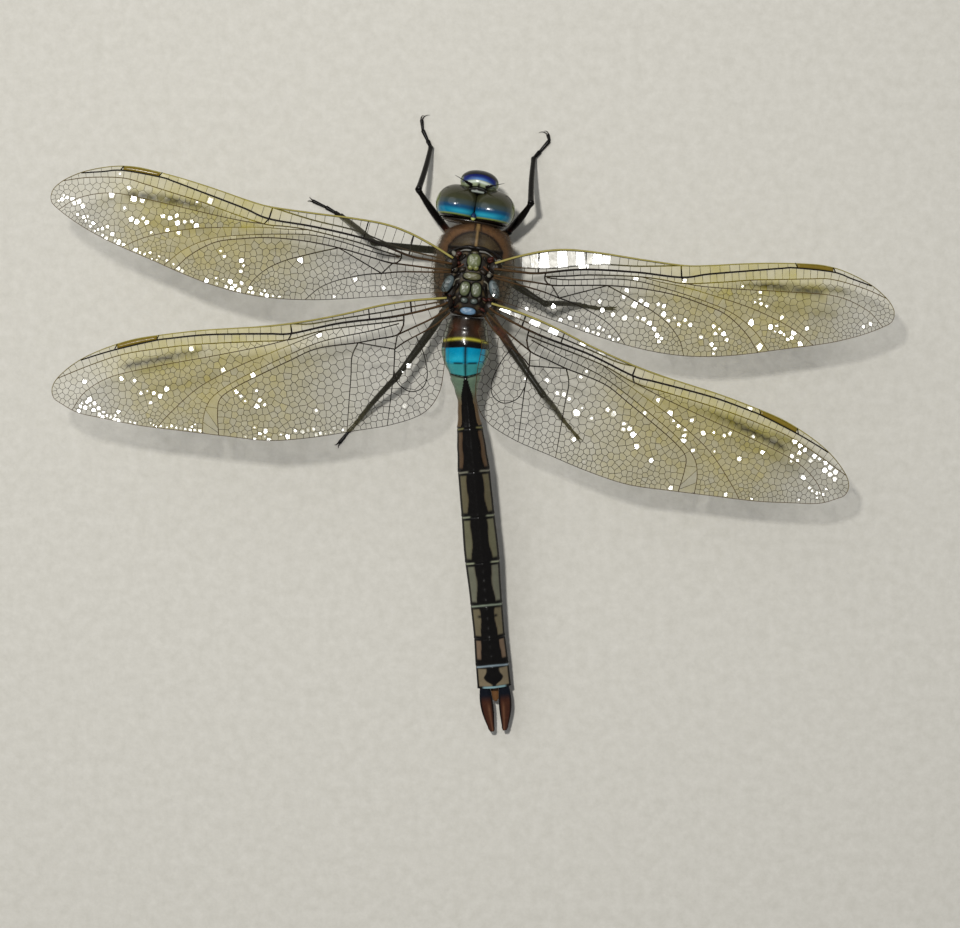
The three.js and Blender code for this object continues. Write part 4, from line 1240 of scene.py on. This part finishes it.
def build_mouth():
    mouth = Build()
    lump(mouth, (0, 1.6, -3.25), (2.1, 1.7, 1.1), 64, 40, 2.2, (140, 146, 84), (24, 18, 12),
         lambda x, y, z: bump(z + 0.25, 0.12) + bump(x, 0.07) * (z < -0.2))
    lump(mouth, (0, 2.95, -3.0), (1.5, .7, .75), 48, 30, 2.3, (120, 122, 70))
    for sign in (1, -1):
        lump(mouth, (sign * 1.1, 2.5, -3.55), (.5, .8, .6), 30, 20, 2, (60, 34, 20))
    outward(mouth.piece("mouthparts_jaws", FACE, "mouth_green", ("mouthparts",)))


def build_head_capsule():
    rear = Build()
    lump(rear, (0, -0.55, -0.3), (2.3, .85, 2.7), 60, 40, 2, (52, 34, 24))
    # The small raised triangle between the rear ends of the eyes.
    lump(rear, (0, -1.55, 2.62), (.34, .5, .4), 30, 20, 2, (22, 40, 74), (196, 206, 120),
         lambda x, y, z: smooth(0.1, 0.3, y))
    # The vertex before the eyes, with its white crescent.
    lump(rear, (0, 1.72, 2.05), (1.15, .42, .6), 40, 24, 2, (18, 17, 15), (168, 176, 166),
         lambda x, y, z: bump(y - 0.16, 0.1) * (np.abs(x) < 0.8) * (z > 0))
    # The dark plate behind the eyes, pale along its upper edge.
    lump(rear, (0, -2.1, -0.2), (3.9, .42, 2.5), 70, 40, 2.3, (34, 27, 21), (104, 88, 66),
         lambda x, y, z: smooth(0.1, 0.3, y) * smooth(0.2, 1.2, z))
    outward(rear.piece("head_capsule", FACE, "head_brown", ("head",)))


# A feeler: places along it as shares of its length, and its half thickness there.
FEELER_LENGTH = 2.3
FEELER = arr([[-.12, .2], [.05, .2], [.1, .14], [.18, .17], [.3, .12], [.32, .07], [.45, .06],
              [.47, .055], [.6, .05], [.8, .035], [1, .02]])


def build_feeler(name, sign):
    spread, raised = math.radians(72), math.radians(28)
    aim = body(sign * math.sin(spread) * math.cos(raised), math.cos(spread) * math.cos(raised),
               math.sin(raised))
    shares, radii = FEELER.T
    line = body(sign * 1.15, 2.45, 1.75) + aim * (shares * FEELER_LENGTH)[:, None]
    line[:, 2] += 0.25 * np.sin(shares.clip(0) * 2.4)
    points, faces = tube(line, radii, 12)
    outward(piece(f"antenna_{name}_stalk", head_to_model(points), faces, LEG_BLACK,
                  (f"antenna_{name}",), linear((18, 15, 13))))


for side_name, side_sign in SIDES.items():
    build_eye(side_name, side_sign)
build_frons()
build_mouth()
build_head_capsule()
for side_name, side_sign in SIDES.items():
    build_feeler(side_name, side_sign)

# ---- Legs ----

# Joints of each leg: root, hip, knee and ankle as out, ahead and up, then two stops of the foot.
LEGS = {
    "fore_left": ([1.2, 5, 4.1], [3.4, 4.9, 4], [8, 9.7, 7.2], [7.3, 15.8, .7], [8.6, 17.9], [8.9, 19.2]),
    "fore_right": ([1.2, 5, 4.1], [3.7, 6, 4.1], [6.1, 9.7, 7.2], [5.8, 16, .7], [7.5, 18.5], [7.2, 19.3]),
    "mid_left": ([1.1, 2.6, 3.9], [2.7, 2.8, 3.6], [12.7, 2.5, 7], [17.5, 5.8, .7], [19.6, 6.7],
                 [21.4, 7.3]),
    "mid_right": ([1.1, 2.2, 3.9], [2.7, 1.1, 3.6], [9.4, -2.4, 6.5], [13.9, -1.7, .7], [16.1, -1.8],
                  [18.1, -1.6]),
    "hind_left": ([.9, -1, 3.9], [2.1, -3, 3.6], [8, -13.9, 6.5], [12, -19.3, .7], [13.3, -21.2],
                  [14.3, -22.8]),
    "hind_right": ([.9, -1.2, 3.9], [2, -3.6, 3.6], [10.5, -13.7, 6.5], [13.2, -16.1, .7], [14.6, -17.4],
                   [15.8, -18.5]),
}
FEMUR = {"fore": (.5, .38), "mid": (.5, .38), "hind": (.56, .42)}
LEG_TONE = (13, 11, 9)
TARSUS_SIZES = (0.27, 0.25, 0.22)
# How far the fore claws hook inwards.
CLAW_HOOK = -0.75
UP = arr([0, 0, 1])


def swollen(t, base, tip):
    """A limb's half thickness: full in the first half, narrowing, with a knob at its end."""
    return (base + (tip - base) * t) * (0.82 + 0.24 * np.sin(np.pi * np.clip(t * 1.15, 0, 1))
                                        + 0.22 * bump(t - 1.0, 0.06))


def bowed_line(a, b, count, sag=0.0, sway=0.0):
    """A slightly bowed line between two places, and the shares along it."""
    t = np.linspace(0, 1, count)
    line = a + (b - a) * t[:, None]
    bow = np.sin(np.pi * t)
    return line + UP * (sag * bow)[:, None] + unit(np.cross(b - a, UP)) * (sway * bow)[:, None], t


def add_spines(leg, dice, line, first, count, length):
    """Two rows of stiff spines along the underside of a limb, from a share of its length on."""
    onward = unit(line[-1] - line[0])
    across = unit(np.cross(onward, UP))
    down = np.cross(onward, across)
    down = down if down[2] < 0 else -down
    for row in (1, -1):
        for place in first + (0.97 - first) * np.arange(count) / (count - 1):
            steps = np.arange(len(line))
            at = arr([np.interp(place * steps[-1], steps, line[:, i]) for i in range(3)])
            aim = unit(across * row * 0.6 + down * 0.5 + onward * 0.75)
            reach = length * dice.uniform(0.75, 1.1) * (0.75 + 0.3 * np.sin(np.pi * place))
            tip = at + aim * (0.2 + reach)
            tip[2] = max(tip[2], 0.06)
            spine = arr([at + aim * 0.12, at + aim * (0.2 + reach * 0.5) + onward * 0.02, tip])
            points, faces = tube(spine, [0.038, 0.026, 0.008], 5)
            leg.add(thorax_to_model(points), faces, linear(LEG_TONE))


def add_claws(leg, toes, hook):
    aim = unit(toes[1] - toes[0])
    across = np.cross(aim, UP)
    t = np.linspace(0, 1, 8)
    for row in (1, -1):
        aside = row * (0.09 + 0.26 * t ** 1.3) - hook * t ** 1.6
        claw = toes[1] + aim * (0.55 * np.sin(t * 1.9) - 0.05)[:, None] + across * aside[:, None]
        claw[:, 2] = 0.24 - 0.16 * t ** 2
        points, faces = tube(claw, 0.085 * (1 - 0.85 * t), 8)
        leg.add(thorax_to_model(points), faces, linear((30, 20, 14)))


def build_leg(name, joints):
    pair, side_name = name.split("_")
    sign = SIDES[side_name]
    root, hip, knee, ankle = (body(sign * p[0], p[1], p[2]) for p in joints[:4])
    toes = [body(sign * p[0], p[1], 0.27) for p in joints[4:]]
    leg = Build()
    dice = rng.spawn(1)[0]

    def limb(line, radius, sides, layers=()):
        points, faces = tube(line, radius, sides)
        points[:, 2] = np.maximum(points[:, 2], 0.0)
        colour = layered(LEG_TONE, line[:, 0], layers)
        leg.add(thorax_to_model(points), faces, np.repeat(colour, sides, axis=0))

    # Coxa, trochanter, femur and tibia.
    line, t = bowed_line(root + UP * 0.8, hip, 14)
    limb(line, 0.62 * (1 - 0.2 * t) * (0.9 + 0.15 * np.sin(7 * t)), 14, [((74, 46, 30), 0.8)])
    neck = hip + (knee - hip) * 0.07
    line, t = bowed_line(hip, neck, 6)
    limb(line, 0.44 + 0.06 * np.sin(np.pi * t), 12)
    femur, t = bowed_line(neck, knee, 40, 0.25, sign * -0.12)
    reddish = 0.9 * smooth(0.5, 0.1, t) if name == "hind_right" else 0.25 * smooth(0.25, 0.0, t)
    limb(femur, swollen(t, *FEMUR[pair]), 14, [((104, 48, 30), reddish)])
    tibia, t = bowed_line(knee, ankle, 36, 0.1, sign * 0.1)
    limb(tibia, 0.38 * (1 - 0.2 * t) + 0.05 * bump(t, 0.06) + 0.04 * bump(t - 1, 0.04), 12)
    add_spines(leg, dice, femur, 0.3, 17, 0.42)
    add_spines(leg, dice, tibia, 0.06, 20, 0.5)
    # Foot in three joints lying on the floor, with two claws.
    heel = ankle * [1, 1, 0] + UP * 0.36
    stops = [ankle, heel + (toes[0] - heel) * 0.4, toes[0], toes[1]]
    for start, end, size in zip(stops, stops[1:], TARSUS_SIZES):
        line, t = bowed_line(start, end, 12)
        limb(line, size * (0.75 + 0.35 * t) - 0.06 * bump(t - 1.02, 0.06), 10)
    add_claws(leg, toes, CLAW_HOOK * sign if pair == "fore" else 0.0)
    outward(leg.piece(f"leg_{name}", LEG_BLACK, "black_shell",
                      [f"{part}_{name}" for part in ("coxa", "femur", "tibia", "tarsus")]))


for leg_name, leg_joints in LEGS.items():
    build_leg(leg_name, leg_joints)

# ---- Floor, light and camera ----

FLOOR_HALF = 700
LOOK_AT = (0, 0, 5)
CAMERA_AT = (-0.65, 4.80, 380)
# The width that the camera takes in, and how far below it the wings are.
FIELD = 117.6
FIELD_AWAY = 367
SENSOR = 36


def build_floor():
    mat, tree, shader = new_material("plaster_floor")
    clouds = ramp(tree, noise(tree, 700, 8.0, 0.75), 0, 1, 0.35, 0.65)
    tone = mixed(tree, clouds, linear((195, 192, 182)), linear((207, 204, 195)))
    tree.links.new(tone, shader.inputs["Base Color"])
    shader.inputs["Roughness"].default_value = 0.8
    bumped(tree, shader, noise(tree, 900, 5.0), 0.25, 0.0002)
    mesh = bpy.data.meshes.new("floor")
    corners = [(-1, -1, 0), (1, -1, 0), (1, 1, 0), (-1, 1, 0)]
    mesh.from_pydata((arr(corners) * FLOOR_HALF * MM).tolist(), [], [(0, 1, 2, 3)])
    mesh.materials.append(mat)
    floor = bpy.data.objects.new("floor", mesh)
    bpy.context.collection.objects.link(floor)


def area_light(name, at, size, power, colour):
    data = bpy.data.lights.new(name, "AREA")
    data.shape = "DISK"
    data.size = size * MM
    data.energy = power
    data.color = colour
    lamp = bpy.data.objects.new(name, data)
    lamp.location = Vector(at) * MM
    aim = Vector(LOOK_AT) * MM - lamp.location
    lamp.rotation_euler = aim.to_track_quat("-Z", "Y").to_euler()
    bpy.context.collection.objects.link(lamp)


def build_world():
    world = bpy.data.worlds.new("studio")
    world.use_nodes = True
    background = world.node_tree.nodes["Background"]
    background.inputs["Color"].default_value = (0.9, 0.93, 1, 1)
    background.inputs["Strength"].default_value = 0.21
    bpy.context.scene.world = world


def build_camera():
    """Straight above the dragonfly, its head to the top of the picture, as in the photo."""
    data = bpy.data.cameras.new("camera")
    data.sensor_width = SENSOR
    data.lens = SENSOR * FIELD_AWAY / FIELD
    data.clip_start = 0.01
    camera = bpy.data.objects.new("camera", data)
    camera.location = Vector(CAMERA_AT) * MM
    camera.rotation_euler = (0, 0, math.pi)
    bpy.context.collection.objects.link(camera)
    bpy.context.scene.camera = camera


build_floor()
area_light("key", (60, -85, 420), 26, 1.3, (1.0, 0.985, 0.95))
area_light("fill", (500, -500, 800), 1100, 3.4, (0.97, 0.98, 1.0))
build_world()
build_camera()
bpy.context.scene.view_settings.view_transform = "Standard"
